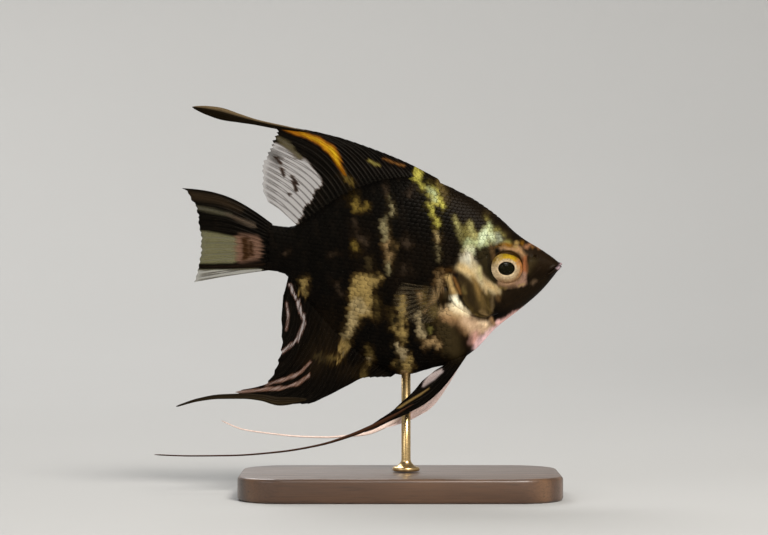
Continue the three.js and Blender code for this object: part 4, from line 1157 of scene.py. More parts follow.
def fin_sheet(name, rays, spines, root, tips, place, rows, ray_high, pleat, notch, seed,
              per_ray=10, bow=0.42, root_half=0.5, windows=(), veil=1.0, ray_veil=0.72,
              wash=None):
    """A whole fin.

    rays counts them all and spines the stiff ones in front. place sets (x, z) of the fan in space,
    with s along the root and t along the ray. notch is how deep the web is cut in between the
    tips, and pleat how far it is folded. windows are (opacity, softness, colour, *strokes), clear
    or coloured parts of the web. veil is the web's own opacity and ray_veil that of the rays in
    it. wash is (colour, share), laid over all at the end.
    """
    mesh, s, grown, face = sheet(name, (rays - 1) * per_ray, rows)
    q = s * (rays - 1)
    from_ray = q - np.round(q)
    soft = smooth((np.round(q) - spines + 0.5) / 1.0)
    random = np.random.default_rng(seed)
    jitter = random.uniform(0, 1, rays + 1)[np.round(q).astype(int)]
    gap = (2 * np.abs(from_ray)) ** 0.8
    ragged = 0.012 * noise(q * 1.7, np.zeros_like(q), seed, 1.0) * soft
    end = 1 - gap * lerp(notch * 3.2, notch, soft) + ragged - 0.008 * jitter * soft
    t = grown * np.clip(end, 0, 1)
    rays_at = root(s), [column(s) for column in tips]
    x, z = ray_point(*rays_at, bow, t)
    split = BRANCH * soft * smooth((t - 0.3 - 0.1 * jitter) / 0.3)
    split_again = TWIG * soft * smooth((t - 0.66) / 0.2)
    width = lerp(0.17, 0.055, smooth(t / 0.8)) + 0.02
    ridge = np.zeros_like(s)
    for fork in (-1, 1):
        for twig in (-1, 1):
            centre = fork * split + twig * split_again
            ridge = np.maximum(ridge, bump(from_ray, centre, width))
    joints = 1 - 0.16 * soft * (0.5 + 0.5 * np.cos(t * JOINTS)) ** 3
    web = lerp(root_half, WEB_HALF, smooth(t / 0.3))
    rim = np.sqrt(np.clip((1 - grown) / 0.03, 0.04, 1))
    half = (web + ray_high * ridge * joints * (1 - t) ** 0.55 + 0.02 * ridge) * rim
    fold = pleat * smooth(t / 0.3) * np.cos(np.pi * q)
    move_to(mesh, place(x, z, s, t, half * face + fold))
    flame = 0.035 * noise(q * 2.4, t * 5, seed + 2, 1.0)
    flame = flame + 0.02 * noise(q * 6, t * 4, seed + 3, 1.0)
    at_x, at_z = ray_point(*rays_at, bow, np.clip(t + flame * smooth(t / 0.1), 0, 1))
    hue = paint(at_x, at_z, -1)
    # Darker towards the root: painted shade to match the body's shaded keel beside it, and partly
    # the thicker flesh there.
    hue *= lerp(0.68, 1, smooth(t / 0.3))[:, None]
    hue[:, 3] *= 0.4
    clear = np.full(len(x), veil)
    for opacity, softness, colour, *strokes in windows:
        for stroke in strokes:
            share = cover(at_x, at_z, stroke, softness)
            clear = lerp(clear, opacity, share)
            hue = tint(hue, (*colour, 0.05), share)
    on_ray = ridge * smooth((1 - t) / 0.1)
    dark_ray = hue * np.array([0.16, 0.13, 0.1, 1]) + np.array([0.010, 0.006, 0.003, 0])
    light_ray = hue * 1.1 + np.array([0.0016, 0.0012, 0.0008, 0])
    on_clear = smooth((1 - clear - 0.25) / 0.4)
    hue = tint(hue, tint(light_ray, dark_ray, on_clear), on_ray)
    flesh = smooth(1 - t / 0.12)
    opaque = lerp(clear, 0.97, np.clip(ray_veil * on_ray ** 2 + flesh, 0, 1))
    if wash:
        hue = lerp(hue, np.array(wash[0]), wash[1])
    give(mesh, "paint", hue)
    give(mesh, "veil", opaque)
    return mesh


print("a web is", 2 * WEB_HALF, "mm thick")


# %% Drawn-out rays and the finish of a web
def plain_strand(name, path, high, thick, colour_up, colour_low, upper=0.0, **more):
    """A drawn-out ray: one colour along its upper edge, down to upper, and one below."""
    mesh, rise = strand(name, path, high, thick, **more)
    is_up = smooth((rise - upper) / 0.5 + 0.5)
    give(mesh, "paint", tint(np.array([*colour_low, 0.05]), (*colour_up, 0.05), is_up))
    give(mesh, "veil", np.ones(len(rise)))
    return mesh


def fin_finish(name, roughness):
    """A web under a wet film: painted, and see-through where its veil is thin."""
    f = Finish(name)
    colour, speckle = f.stored("paint"), f.grain(3000, 3)
    shade = f.mix(colour, f.mix(colour, (0.45, 0.4, 0.35), 1.0, "MULTIPLY"), speckle)
    return f.close(Base_Color=shade, Metallic=f.stored("paint", "Alpha") * 0.4,
                   Roughness=speckle * 0.15 + roughness, Alpha=f.stored("veil", "Fac"),
                   Coat_Weight=0.012, Specular_IOR_Level=0.03,
                   Normal=f.bumps(f.grain(1800, 2), 0.4, 0.00003), **WET_FILM)


FIN_WEB = fin_finish("fin_web", 0.36)
print("finish:", FIN_WEB.name)

# %% [markdown]
# ## Dorsal and anal fins
#
# The two large fins stand on the keels of back and belly. Each starts a little inside the body,
# so that it grows out of the skin without a gap. Behind the spines the rays grow long and sweep
# back, and the longest run out in a streamer. The rear part of the web is clear.

# %% Dorsal fin
ROOT_SINK = 1.1
STREAMER_HALF = through((0, 0.16), (0.06, 0.42), (0.3, 0.38), (1, 0.2))
DORSAL_TIPS = fan(
    (0, 9, 79.6, 128, 152), (0.12, 1, 83.7, 126, 152), (0.26, -8, 87.3, 126, 154),
    (0.38, -16.3, 90, 124, 158), (0.48, -25.8, 92, 122, 164), (0.56, -31.2, 92.5, 120, 168),
    (0.62, -31, 91.2, 118, 164), (0.7, -32.2, 88.4, 118, 158), (0.79, -33.6, 85.4, 122, 154),
    (0.88, -34.6, 81.6, 128, 152), (0.95, -34.6, 77.6, 134, 150), (1, -33.2, 73.6, 140, 150))
DORSAL_WINDOWS = [
    (0.2, 0.7, (0.14, 0.10, 0.075), [(-31, 87, 1.2), (-28, 85.4, 1.6), (-26, 81, 4.0),
     (-25.6, 76.5, 4.4), (-29, 73, 3.5)], [(-23.5, 82, 1.4), (-21.3, 78.4, 1.9)],
     [(-33, 84, 3.4), (-34, 78, 5)], [(-26.5, 73, 2.6), (-27, 70, 2.4)]),
    (0.5, 1.6, (0.035, 0.024, 0.014), [(-33.4, 86.6, 1.0), (-31, 84.6, 1.2), (-30, 82.6, 0.4)]),
    (0.78, 1.0, (0.06, 0.048, 0.02), [(-30.5, 89.4, 0.5), (-28.2, 87.8, 0.9),
     (-25.6, 84.8, 0.7)]),
    (0.9, 0.6, (0.014, 0.006, 0.003), [(-26.9, 79.8, 0.35), (-26.3, 78.4, 0.6),
     (-26.1, 76.6, 0.5)], [(-29.4, 81.8, 0.3), (-28.8, 80, 0.4)], [(-27.6, 75.4, 0.4)],
     [(-30.8, 84.6, 0.3), (-29.6, 83.2, 0.4)]),
]


def on_keel(lean, grows=lambda s: 1):
    """Stands a fan in the middle plane. Its tips lean across by lean, as far as grows(s) says."""
    return lambda x, z, s, t, off: np.stack([x, lean * t * t * grows(s) + off, z], axis=-1)


def towards_tail(s):
    return smooth((s - 0.2) / 0.4)


def dorsal_root(s):
    x = lerp(10.75, -25.2, s)
    return x, back_height(x) - ROOT_SINK


dorsal_sheet = fin_sheet(
    "dorsal_sheet", 36, 12, dorsal_root, DORSAL_TIPS, on_keel(0.9, towards_tail), 84,
    ray_high=0.11, pleat=0.03, notch=0.022, seed=5, windows=DORSAL_WINDOWS, ray_veil=0.5)
dorsal_streamer = plain_strand(
    "dorsal_streamer",
    [(-22, 0.7, 90.9), (-27, 0.85, 91.7), (-31.4, 1, 92.5), (-36.5, 1.2, 93.6), (-41.5, 1.5, 94.8),
     (-46.2, 1.9, 96), (-52.2, 2.4, 97.4)],
    through((0, 0.15), (0.25, 0.6), (0.45, 0.72), (0.6, 1.1), (0.75, 1.5), (0.88, 1.1), (1, 0.2)),
    STREAMER_HALF, (0.12, 0.085, 0.045), (0.005, 0.003, 0.001), upper=0.45,
    around=64, along=220, flutes=3)
dorsal_fin = joined("dorsal_fin_rayed", dorsal_sheet, dorsal_streamer)
piece("dorsal_fin_rayed", dorsal_fin, FIN_WEB, "fin", "dorsal_fin")

# %% Anal fin
ANAL_TIPS = fan(
    (0, -2.4, 29.7, 226, 206), (0.12, -8.6, 29.5, 226, 206), (0.24, -14.3, 27, 228, 204),
    (0.36, -19.3, 24.5, 232, 202), (0.47, -24, 22.9, 238, 198), (0.56, -30.2, 23.1, 244, 188),
    (0.64, -38, 24.6, 250, 182), (0.71, -41.3, 26, 252, 182), (0.79, -33.8, 28, 252, 194),
    (0.86, -30.8, 33.2, 252, 214), (0.92, -29.7, 38, 252, 232), (0.97, -29.7, 44.4, 252, 244),
    (1, -29.2, 50, 252, 250))
ANAL_WINDOWS = [
    (0.35, 0.6, (0.15, 0.07, 0.045), [(-27.6, 52.6, 0.35), (-25.6, 48.4, 0.4),
     (-23.8, 43.6, 0.4), (-25.6, 39, 0.35), (-29.4, 36, 0.35)], [(-28.3, 48.5, 0.15),
     (-27.9, 45, 0.25), (-28.3, 41.6, 0.15)]),
    (0.55, 0.6, (0.18, 0.085, 0.05), [(-22.5, 33.2, 0.15), (-25, 30.8, 0.35), (-28.8, 29, 0.35),
     (-33.5, 27.8, 0.3)], [(-23, 29.8, 0.3), (-25.8, 27.8, 0.4), (-30, 26.9, 0.4),
     (-41, 26, 0.3)]),
]


def anal_root(s):
    x = lerp(-0.4, -27.7, s)
    return x, belly_height(x) + ROOT_SINK


anal_sheet = fin_sheet(
    "anal_sheet", 32, 6, anal_root, ANAL_TIPS, on_keel(-1.1, towards_tail), 90,
    ray_high=0.15, pleat=0.05, notch=0.025, seed=8, windows=ANAL_WINDOWS)
anal_streamer = plain_strand(
    "anal_streamer",
    [(-23, -0.6, 24.2), (-30, -0.9, 23.7), (-34.5, -1.1, 24.6), (-39, -1.4, 25), (-45, -1.9, 24.9),
     (-50, -2.4, 24.2), (-55.8, -3, 22.5)],
    through((0, 0.3), (0.2, 1.1), (0.4, 0.75), (0.65, 0.6), (1, 0.2)), STREAMER_HALF,
    (0.012, 0.008, 0.004), (0.02, 0.014, 0.006), around=48, along=220, flutes=2)
anal_fin = joined("anal_fin_rayed", anal_sheet, anal_streamer)
piece("anal_fin_rayed", anal_fin, FIN_WEB, "fin", "anal_fin")

# %% Tail fin
TAIL_UPPER, TAIL_LOWER = (-54.8, 77), (-51.8, 53.4)
tail_hollow = through((0, 0), (0.1, 1.8), (0.25, 3.2), (0.5, 3.2), (0.75, 2.2), (1, 0))
TAIL_TIPS = [
    lambda s: lerp(TAIL_UPPER[0], TAIL_LOWER[0], s) + tail_hollow(s),
    lambda s: lerp(TAIL_UPPER[1], TAIL_LOWER[1], s),
    lambda s: lerp(143, 187, s),
    lambda s: lerp(177, 190, s)]
TAIL_WINDOWS = [
    (0.8, 0.8, (0.11, 0.105, 0.052), [(-51, 64.4, 2.0), (-46, 63, 2.7), (-38, 61.6, 2.4)],
     [(-50, 60.4, 2.2), (-42, 60, 1.8)]),
    (0.35, 0.7, (0.13, 0.12, 0.06), [(-53, 54.9, 1.7), (-46, 55, 1.6), (-42, 55, 1.6),
     (-35.5, 55.9, 0.9)]),
    (0.8, 1.2, (0.055, 0.05, 0.028), [(-53, 72.4, 0.4), (-47, 71.3, 0.5), (-42, 70.1, 0.3)]),
    (0.85, 1.0, (0.05, 0.035, 0.022), [(-43, 70.3, 0.3), (-37, 67.8, 0.7)]),
    (0.93, 1.7, (0.125, 0.07, 0.046), [(-39.6, 63.8, 1.6), (-36, 63.6, 1.3), (-35.8, 60.4, 1.3),
     (-39.6, 60, 1.6), (-39.6, 63.8, 1.6)], [(-38, 62.2, 2.2)]),
    (0.98, 1.2, (0.026, 0.011, 0.003), [(-38.7, 64, 0.9), (-38.5, 59.8, 1.0)], [(-37.1, 63, 0.6),
     (-37, 60.4, 0.6)]),
    (1.0, 2.2, (0.020, 0.013, 0.007), [(-53, 75.2, 0.9), (-46, 74.2, 0.8), (-40, 71.8, 0.5)]),
    (1.0, 0.8, (0.008, 0.004, 0.002), [(-51, 57.5, 0.1), (-42, 57.3, 0.15),
     (-34.5, 57.8, 0.35)]),
]


def tail_root(s):
    high, low = back_height(TAIL_X) + 0.1, belly_height(TAIL_X) + 0.3
    return TAIL_X + ROOT_SINK + 0 * s, lerp(high, low, s)


tail_sheet = fin_sheet(
    "tail_fin_rayed", 17, 0, tail_root, TAIL_TIPS, on_keel(1.3), 96,
    ray_high=0.15, pleat=0.05, notch=0.012, seed=13, per_ray=14, root_half=0.75,
    windows=TAIL_WINDOWS)
piece("tail_fin_rayed", tail_sheet, FIN_WEB, "fin", "tail_fin")

# %% [markdown]
# ## Pectoral and pelvic fins
#
# The pectoral fins are clear paddles on fleshy roots and do the slow swimming. The pelvic fins
# are narrow blades with a strong spine, and one ray of each is drawn out into a long feeler.

# %% Pectoral fins
PECTORAL_HIGH, PECTORAL_REACH, PECTORAL_SWING = 4.6, 14.5, np.radians(24)
paddle = through((0, 0.86), (0.3, 1), (0.65, 0.78), (1, 0.42))
CLEAR_WEB = fin_finish("clear_web", 0.3)


def pectoral_root(s):
    return 0 * s, lerp(PECTORAL_HIGH / 2, -PECTORAL_HIGH / 2, s)


def paddle_heading(s):
    return np.radians(lerp(12, -52, s))


PADDLE_TIPS = [
    lambda s: PECTORAL_REACH * paddle(s) * np.cos(paddle_heading(s)),
    lambda s: PECTORAL_REACH * paddle(s) * np.sin(paddle_heading(s)) + 0.6 * pectoral_root(s)[1],
    lambda s: np.degrees(paddle_heading(s)) * 0.7,
    lambda s: np.degrees(paddle_heading(s))]


def pectoral_fin(side, sign):
    start = float(flank(PECTORAL_X, PECTORAL_Z)) - 0.7
    back, aside = np.cos(PECTORAL_SWING), np.sin(PECTORAL_SWING)

    def place(x, z, _s, _t, off):
        return np.stack([PECTORAL_X - x * back + off * aside,
                         sign * (start + x * aside + off * back), PECTORAL_Z + z], axis=-1)

    mesh = fin_sheet(f"paddle_{side}", 13, 0, pectoral_root, PADDLE_TIPS, place, 60,
                     ray_high=0.2, pleat=0.07, notch=0.02, seed=21, root_half=0.4, veil=0.03,
                     ray_veil=0.3, wash=((0.12, 0.095, 0.055, 0), 0.85))
    pad, turn, share = ball(f"fin_root_{side}", 40, 30)
    x = PECTORAL_X - 0.5 + 1.6 * np.sin(share * np.pi) * np.cos(turn)
    z = PECTORAL_Z + 2.7 * np.cos(share * np.pi)
    y = flank(x, z) - 0.1 + 0.75 * np.sin(share * np.pi) ** 2 * np.sin(turn)
    move_to(pad, np.stack([x, sign * y, z], axis=-1))
    give(pad, "paint", paint_round(x, sign * y, z))
    give(pad, "veil", np.ones(len(x)))
    return joined(f"pectoral_fin_{side}_rayed", mesh, pad)


for side, sign in SIDES.items():
    piece(f"pectoral_fin_{side}_rayed", pectoral_fin(side, sign), CLEAR_WEB, "clear_fin",
          f"pectoral_fin_{side}")

# %% Pelvic fins
PELVIC_TIPS = fan(
    (0, -7, 17.6, 237, 199), (0.2, -12.5, 15.3, 237, 200), (0.4, -5.5, 19.3, 235, 202),
    (0.6, 0.5, 23.8, 234, 206), (0.8, 5.5, 28.9, 231, 210), (1, 8.6, 31.4, 224, 212))
FEELERS = {
    "right": [(4, 23.6), (-4, 19), (-12.5, 15.3), (-20, 13), (-30, 11.3), (-42, 10.4),
              (-52, 10.3), (-61.2, 10.6)],
    "left": [(4, 21.8), (-3, 17.6), (-9, 15.2), (-13.8, 14.7), (-18, 14.4), (-25, 14.6),
             (-33, 15.4), (-39.5, 16.4), (-45, 18.6)]}
FEELER_COLOURS = {"right": ((0.05, 0.02, 0.01), (0.02, 0.01, 0.005)),
                  "left": ((0.82, 0.66, 0.59), (0.82, 0.66, 0.59))}
PELVIC_WINDOWS = {
    "right": [
        (0.62, 0.8, (0.42, 0.35, 0.34), [(10.4, 31.4, 0.4), (8, 29.9, 0.9), (6, 28, 0.4)]),
        (1.0, 0.6, (0.24, 0.16, 0.055), [(7.4, 27.1, 0.05), (5, 25.5, 0.15), (-0.6, 22.1, 0.1)])],
    "left": [
        (1.0, 0.8, (0.80, 0.635, 0.60), [
            (15, 33, 1.0), (11, 28, 1.3), (7.5, 24.6, 1.5), (2, 20.8, 1.4), (-5, 17, 1.1),
            (-12, 14.4, 1.0)])]}


def pelvic_splay(x):
    return 1.35 + 2.7 * smooth((14 - x) / 16)


def pelvic_fin(side, sign):
    drop = 0 if side == "right" else 1

    def place(x, z, _s, t, off):
        down = drop * (2.5 * smooth(t / 0.5) - 1.3 * smooth((t - 0.5) / 0.5))
        return np.stack([x, sign * pelvic_splay(x) + off, z - down], axis=-1)

    def root(s):
        return lerp(16.8, 11.6, s), lerp(35.4, 33.4, s)

    mesh = fin_sheet(f"blade_{side}", 6, 1, root, PELVIC_TIPS, place, 130,
                     ray_high=0.14, pleat=0.02, notch=0.03, seed=31, per_ray=16, bow=0.48,
                     root_half=0.55, windows=PELVIC_WINDOWS[side])
    path = [(x, sign * float(pelvic_splay(x)), z) for x, z in FEELERS[side]]
    feeler = plain_strand(f"feeler_{side}", path,
                          through((0, 0.3), (0.15, 0.55), (0.4, 0.27), (1, 0.16)),
                          through((0, 0.16), (0.06, 0.4), (0.3, 0.3), (1, 0.16)),
                          *FEELER_COLOURS[side], around=12, along=200)
    return joined(f"pelvic_fin_{side}_rayed", mesh, feeler)


for side, sign in SIDES.items():
    piece(f"pelvic_fin_{side}_rayed", pelvic_fin(side, sign), FIN_WEB, "fin", f"pelvic_fin_{side}")

# %% [markdown]
# ## Eyes
#
# A fish's eye is set for water: a flat window over a ball lens that bulges through the pupil.
# The iris is a shallow cone of cream and gold with a darker arc above, partly brown and partly
# painted shadow of the socket's upper rim. Each part is a piece of its own here, as a glass eye is
# made: a painted iris ring, a black ball behind the hole in it, and a clear dome over both that
# takes the reflections.

# %% Setting a turned shape in the head
PUPIL_LONG, PUPIL_HIGH = 2.08, 1.64
PUPIL_START = 1.78  # the radius that becomes the pupil's edge
PUPIL_SHIFT = np.array([-0.22, 0, -0.26])  # the hole lies off the iris's middle


def set_eye(sign, r, turn, high):
    """Points given round the eye's own axis, in the head. high stands out of the rim's level."""
    side = float(flank(EYE_X, EYE_Z)) + EYE_PROUD
    out = np.array([np.sin(EYE_FORWARD), sign * np.cos(EYE_FORWARD), 0])
    fore = np.array([np.cos(EYE_FORWARD), -sign * np.sin(EYE_FORWARD), 0])
    centre = np.array([EYE_X, sign * side, EYE_Z])
    along, up = (r * np.cos(turn))[:, None], (r * np.sin(turn))[:, None]
    return centre + fore * along + np.array([0, 0, 1.0]) * up + out * high[:, None]


def pupil_edge(turn):
    return 1 / np.hypot(np.cos(turn) / PUPIL_LONG, np.sin(turn) / PUPIL_HIGH)


print("pupil:", 2 * PUPIL_LONG, "mm long,", 2 * PUPIL_HIGH, "mm high")

# %% The iris's colours, each with how silvery it is
IRIS_CREAM = (0.31, 0.235, 0.14, 0.1)
IRIS_BEIGE = (0.23, 0.145, 0.072, 0.1)
IRIS_BROWN = (0.135, 0.074, 0.036, 0.1)
IRIS_PALE = (0.38, 0.295, 0.18, 0.1)
IRIS_SHADE = (0.045, 0.022, 0.006, 0)
IRIS_RING = (0.43, 0.33, 0.205, 0.1)
IRIS_GOLD = (0.30, 0.185, 0.007, 0)
IRIS_COPPER = (0.33, 0.125, 0.010, 0)
IRIS_FRONT = (0.22, 0.07, 0.012, 0.05)
IRIS_EDGE = (0.10, 0.06, 0.02, 0)
# Partly brown skin and partly painted shadow of the socket's upper rim, on iris and orbit.
LID_SHADOW_BROWN = (0.022, 0.009, 0.0006, 0)


def iris_paint(r, turn):
    """Cream round the pupil, gold above, copper in front, brown below; over the gold a brown arc,
    partly painted shadow.
    """
    degrees, edge = np.degrees(turn), pupil_edge(turn)
    from_below = np.abs((degrees + 270) % 360 - 180)
    share = np.clip((r - edge) / (EYE_RADIUS - edge), 0, 1)
    outer = smooth((share - 0.4) / 0.3)
    streak = noise(12 * np.cos(turn) + 0.4 * r, 12 * np.sin(turn), 71, 0.7)
    mottle = noise(r * np.cos(turn), r * np.sin(turn), 72, 0.35)
    hue = np.array(IRIS_CREAM) * np.ones((len(r), 4))
    hue = tint(hue, IRIS_BEIGE, 0.85 * smooth((100 - from_below) / 50) * outer)
    pouch = smooth((76 - from_below) / 40) * smooth((share - 0.68 + 0.1 * streak) / 0.25)
    hue = tint(hue, IRIS_BROWN, 0.9 * pouch)
    hue = tint(hue, IRIS_PALE, 0.8 * bump(from_below, 66, 24) * (np.cos(turn) < 0) * outer)
    rear = bump(degrees, 150, 24) * smooth((share - 0.6 + 0.08 * streak) / 0.2)
    hue = tint(hue, IRIS_SHADE, 0.9 * rear)
    hue = tint(hue, IRIS_RING, smooth((0.30 - share + 0.06 * mottle) / 0.2))
    above = bump(degrees, 74, 64) * smooth((share - 0.24 + 0.08 * streak) / 0.16)
    gilt = tint(np.array(IRIS_GOLD), IRIS_COPPER, smooth((54 - degrees) / 30))
    gilt *= lerp(1.1, 0.6, smooth((share - 0.4 + 0.1 * streak) / 0.35))[:, None]
    hue = tint(hue, gilt, np.clip(above * (1.3 + 0.25 * streak), 0, 1))
    hue = tint(hue, IRIS_FRONT, 0.85 * bump(degrees, 2, 36) * smooth((share - 0.55) / 0.25))
    # The dark arc at the iris's top: partly brown and partly painted shadow of the socket's upper
    # rim.
    arc = smooth((share - 1.0 + 0.33 * bump(degrees, 72, 46) + 0.03 * streak) / 0.09)
    hue = tint(hue, LID_SHADOW_BROWN, arc)
    hue[:, :3] *= (0.95 + 0.12 * streak + 0.2 * mottle)[:, None]
    return tint(hue, IRIS_EDGE, 0.8 * smooth((0.05 - share) / 0.05))


print("iris colours from", min(IRIS_SHADE[:3]), "to", max(IRIS_RING))

# %% Profiles of the eye's turned parts: radius and height over the rim
iris_height = through(
    (PUPIL_START, 0.36), (1.95, 0.46), (2.4, 0.43), (3, 0.3), (3.6, 0.1), (4.05, -0.12))
IRIS_PROFILE = ([(PUPIL_START, 0.3)]
                + [(r, float(iris_height(r))) for r in np.linspace(1.84, 4.05, 34)]
                + [(4.1, -0.6), (3.6, -0.95), (2.4, -0.2), (1.85, 0.12)])
ORBIT_PROFILE = [
    (3.97, -1.2), (3.95, -0.5), (3.95, -0.2), (3.98, -0.06), (4.05, 0.03), (4.16, 0.09),
    (4.32, 0.12), (4.5, 0.13), (4.7, 0.125), (4.9, 0.105), (5.1, 0.07), (5.3, 0.03), (5.5, -0.02),
    (5.7, -0.1), (5.75, -0.4), (4.9, -1.2)]
LENS_PROFILE = [
    (0, 0.66), (0.64, 0.6), (1.2, 0.42), (1.75, 0.08), (2.4, -0.14), (3.0, -0.75), (2.9, -1.6),
    (1.8, -2.3), (0, -2.5)]
WINDOW_PROFILE = [
    (0, 1.1), (0.9, 1.04), (1.8, 0.87), (2.7, 0.56), (3.4, 0.2), (3.98, -0.14), (3.96, -0.2),
    (3.4, 0.12), (2.6, 0.47), (1.7, 0.79), (0.85, 0.96), (0, 1.02)]


def iris(side, sign):
    mesh, r, turn, high = turned(f"iris_{side}", IRIS_PROFILE, 160)
    inner = smooth((3.3 - r) / 1.5)
    r = r * lerp(1, pupil_edge(turn) / PUPIL_START, inner)
    move_to(mesh, set_eye(sign, r, turn, high) + inner[:, None] * PUPIL_SHIFT)
    give(mesh, "paint", iris_paint(r, turn))
    return mesh


def orbit(side, sign):
    """The soft rim of the socket: level with the iris inside, and part of the cheek outside."""
    mesh, r, turn, high = turned(f"orbit_{side}", ORBIT_PROFILE, 160)
    x, y, z = set_eye(sign, r, turn, 0 * r).T
    above = sign * y - flank(x, z)
    y = flank(x, z) + high + above * (1 - smooth((r - 3.95) / 1.4)) + 0.01 * noise(x, z, 81, 0.5)
    move_to(mesh, np.stack([x, sign * y, z], axis=-1))
    # The rim's upper inner edge is painted dark: partly brown skin and partly painted shadow.
    lid_shadow = bump(np.degrees(turn), 78, 46) * smooth((4.5 - r) / 0.3)
    give(mesh, "paint", tint(paint_round(x, sign * y, z), LID_SHADOW_BROWN, lid_shadow))
    return mesh


def eye_part(name, sign, profile, steps, finish, shift=0):
    """A round part of the eye, set in the head."""
    mesh, r, turn, high = turned(name, profile, steps)
    move_to(mesh, set_eye(sign, r, turn, high) + shift)
    piece(name, mesh, finish, "eye")


print("the window is", round(WINDOW_PROFILE[0][1] - WINDOW_PROFILE[-1][1], 2), "mm thick")

# %% Finishes of the eye, and its pieces
IRIS_FINISH = skin_finish("iris_gilt", 0.00001, 0.4, 0.01, 0.015)
pupil = Finish("pupil_black")
PUPIL_FINISH = pupil.close(Base_Color=(0.005, 0.0045, 0.002, 1), Specular_IOR_Level=0.03,
                           Roughness=pupil.grain(900) * 0.1 + 0.2)
dome = Finish("eye_window")
glance = dome.node("ShaderNodeLayerWeight", None, {"Blend": 0.25}, output="Fresnel")
WINDOW_FINISH = dome.close(Base_Color=(0.95, 0.96, 1, 1), Metallic=1.0,
                           Roughness=dome.grain(700) * 0.02 + 0.03, Alpha=glance * 0.004 + 0.0001)

for side, sign in SIDES.items():
    piece(f"iris_{side}", iris(side, sign), IRIS_FINISH, "eye", f"eye_{side}")
    piece(f"orbit_{side}", orbit(side, sign), SKIN_WET, "skin")
    eye_part(f"lens_{side}", sign, LENS_PROFILE, 72, PUPIL_FINISH, PUPIL_SHIFT)
    eye_part(f"eye_window_{side}", sign, WINDOW_PROFILE, 96, WINDOW_FINISH)

# %% [markdown]
# ## The stand
#
# The base is a slab of walnut with round corners, softened edges and an oiled finish. The rod
# is turned brass with a small foot. Both are the frame's own sizes. The slab's corners and
# edges are real bevels rather than shading, because an edge that catches no light looks like
# paper.

# %% Walnut base
def soften(bm, edges, radius, segments):
    """Rounds edges off."""
    bmesh.ops.bevel(bm, geom=edges, offset=radius, offset_type="OFFSET", affect="EDGES",
                    segments=segments, profile=0.5, material=-1)


def rise_of(edge):
    return abs(edge.verts[0].co.z - edge.verts[1].co.z)


base_low, base_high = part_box("stand_base")
bm = bmesh.new()
bmesh.ops.create_cube(bm, size=1)
bmesh.ops.scale(bm, vec=(base_high - base_low) / MM, verts=bm.verts)
bmesh.ops.translate(bm, vec=(base_high + base_low) / (2 * MM), verts=bm.verts)
soften(bm, [edge for edge in bm.edges if rise_of(edge) > 1], 12, 14)
soften(bm, [edge for edge in bm.edges if rise_of(edge) < 0.01
            and len({round(face.normal.z) for face in edge.link_faces}) > 1], 0.9, 4)
base_mesh = mesh_from(bm, "base_slab")
move_to(base_mesh, places(base_mesh))

walnut = Finish("oiled_walnut")
drift = walnut.grain(1.0, 4, at=walnut.stretched(9, 150, 150), Distortion=0.6)
rings = walnut.node(
    "ShaderNodeTexWave", {"bands_direction": "Y"},
    {"Vector": walnut.place(), "Scale": 55.0, "Distortion": 4.0, "Detail": 3.0,
     "Detail Scale": 0.3})
pores = walnut.grain(1.0, 3, at=walnut.stretched(120, 2600, 2600))
grain = walnut.node(
    "ShaderNodeValToRGB", {"stops": [(0.1, (0.034, 0.015, 0.007)), (0.5, (0.075, 0.036, 0.017)),
                                     (0.9, (0.125, 0.064, 0.03))]},
    {"Fac": rings * 0.45 + drift * 0.6 - 0.05})
WALNUT = walnut.close(Base_Color=walnut.mix(grain, (0.012, 0.006, 0.003), pores ** 5.0 * 3.0),
                      Roughness=pores * 0.25 + 0.28, Coat_Weight=0.25, Coat_Roughness=0.2,
                      Normal=walnut.bumps(pores, 0.35, 0.0001))
piece("base_slab", base_mesh, WALNUT, "stand_wood", "stand_base")

# %% Brass rod
ROD_X, ROD_RADIUS, FOOT_RADIUS = 1.5, 1.15, 3.4
FOOT_PROFILE = [  # radius, and height over the base
    (FOOT_RADIUS - 0.15, 0), (FOOT_RADIUS, 0.15), (FOOT_RADIUS, 0.75), (FOOT_RADIUS - 0.2, 0.95),
    (FOOT_RADIUS - 0.9, 1.05), (FOOT_RADIUS - 1.2, 1.3), (ROD_RADIUS + 0.75, 1.5),
    (ROD_RADIUS + 0.4, 1.9), (ROD_RADIUS + 0.12, 2.3), (ROD_RADIUS, 2.8)]
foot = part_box("stand_rod")[0].z / MM
top = float(belly_height(ROD_X)) + 0.8
ROD_PROFILE = [(0, foot), *((radius, foot + high) for radius, high in FOOT_PROFILE),
               (ROD_RADIUS, top), (0, top)]
rod_mesh, r, turn, high = turned("stand_rod_turned", ROD_PROFILE, 64)
move_to(rod_mesh, np.stack([ROD_X + r * np.cos(turn), r * np.sin(turn), high], axis=-1))
brass = Finish("brushed_brass")
hoops = brass.grain(1.0, 3, at=brass.stretched(250, 250, 9000))
tarnish = brass.grain(260, 4)
BRASS = brass.close(Base_Color=brass.mix((0.72, 0.50, 0.22), (0.42, 0.29, 0.14), tarnish),
                    Metallic=1.0, Roughness=hoops * 0.18 + 0.2,
                    Normal=brass.bumps(hoops, 0.25, 0.00003))
piece("stand_rod_turned", rod_mesh, BRASS, "stand_metal", "stand_rod")

# %% [markdown]
# ## Studio and camera
#
# A plain pale bowl is floor and backdrop in one, with no line between them, so every view has
# the same calm ground. The key light is large and high in front, a weak one fills from the
# other side, and one behind brings light through the clear fins. A low one fills the belly. It
# stands so close to the floor that it would burn a white patch into it, so light linking keeps
# it off the bowl. The camera has a long lens and looks straight at the right flank, level with
# the fish.

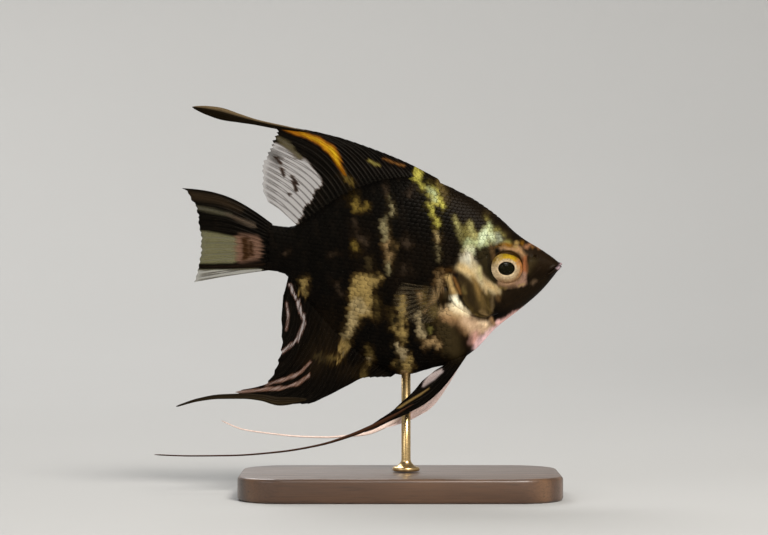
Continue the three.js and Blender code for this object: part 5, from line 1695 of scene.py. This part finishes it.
# %% Floor and backdrop
BOWL_PROFILE = [(0, 0), (500, 0), (700, 8), (900, 70), (1100, 260), (1250, 700), (1300, 1300),
                (1300, 2000)]
bowl_mesh = turned("studio_bowl", BOWL_PROFILE, 64)[0]
move_to(bowl_mesh, places(bowl_mesh))
bowl = bpy.data.objects.new("studio_bowl", bowl_mesh)
bpy.context.scene.collection.objects.link(bowl)
smoothing = bowl.modifiers.new("smooth", "SUBSURF")
smoothing.levels = smoothing.render_levels = 2
paper = Finish("studio_paper")
pale = paper.mix((0.40, 0.395, 0.385), (0.43, 0.425, 0.415), paper.grain(3))
bowl_mesh.materials.append(paper.close(Base_Color=pale, Roughness=0.9, Specular_IOR_Level=0.1))
bowl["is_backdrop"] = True
print("the bowl is", 2 * BOWL_PROFILE[-1][0], "mm wide")


# %% Lights
FISH_MIDDLE = Vector((0, 0, 0.055))


def softbox(name, place, size, watts, colour=(1, 1, 1), glossy=True):
    """A rectangular light that looks at the fish. Sizes are in metres here."""
    light = bpy.data.lights.new(name, "AREA")
    light.shape, light.size, light.size_y = "RECTANGLE", *size
    light.energy, light.color = watts, colour
    lamp = bpy.data.objects.new(name, light)
    lamp.location = place
    lamp.rotation_euler = (FISH_MIDDLE - Vector(place)).to_track_quat("-Z", "Y").to_euler()
    lamp.visible_glossy = glossy
    bpy.context.scene.collection.objects.link(lamp)
    return lamp


softbox("key", (0.35, -0.75, 0.85), (0.45, 0.35), 17, (1, 0.97, 0.92))
softbox("fill", (-0.8, -0.7, 0.35), (0.6, 0.6), 3.5, (0.94, 0.97, 1))
bounce = softbox("bounce", (0.3, -0.62, 0.03), (0.5, 0.12), 4, (1, 0.97, 0.95), glossy=False)
softbox("back", (-0.3, 0.75, 0.8), (0.7, 0.5), 8)
spared = bpy.data.collections.new("spared_by_bounce")
spared.objects.link(bowl)
spared.collection_objects[0].light_linking.link_state = "EXCLUDE"
bounce.light_linking.receiver_collection = spared
world = bpy.data.worlds.new("studio")
world.use_nodes = True
sky = world.node_tree.nodes["Background"].inputs
sky["Color"].default_value, sky["Strength"].default_value = (0.8, 0.85, 0.9, 1), 0.3
bpy.context.scene.world = world
bpy.context.scene.view_settings.view_transform = "Standard"
print("lights:", len(bpy.data.lights))

# %% Camera
camera = bpy.data.objects.new("camera", bpy.data.cameras.new("camera"))
camera.data.sensor_width, camera.data.lens = 36, 120
camera.location = (-0.004, -0.640, 0.0571)
camera.rotation_euler = (np.pi / 2, 0, 0)
bpy.context.scene.collection.objects.link(camera)
bpy.context.scene.camera = camera
print("the camera is", round(-camera.location.y, 2), "m from the fish")

# %% [markdown]
# ## The size of the finished model
#
# The dressed model's box is printed, in millimetres.

# %% Sizes
low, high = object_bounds()
print("visual box in mm:", [round(v / MM, 1) for v in (*low, *high)])
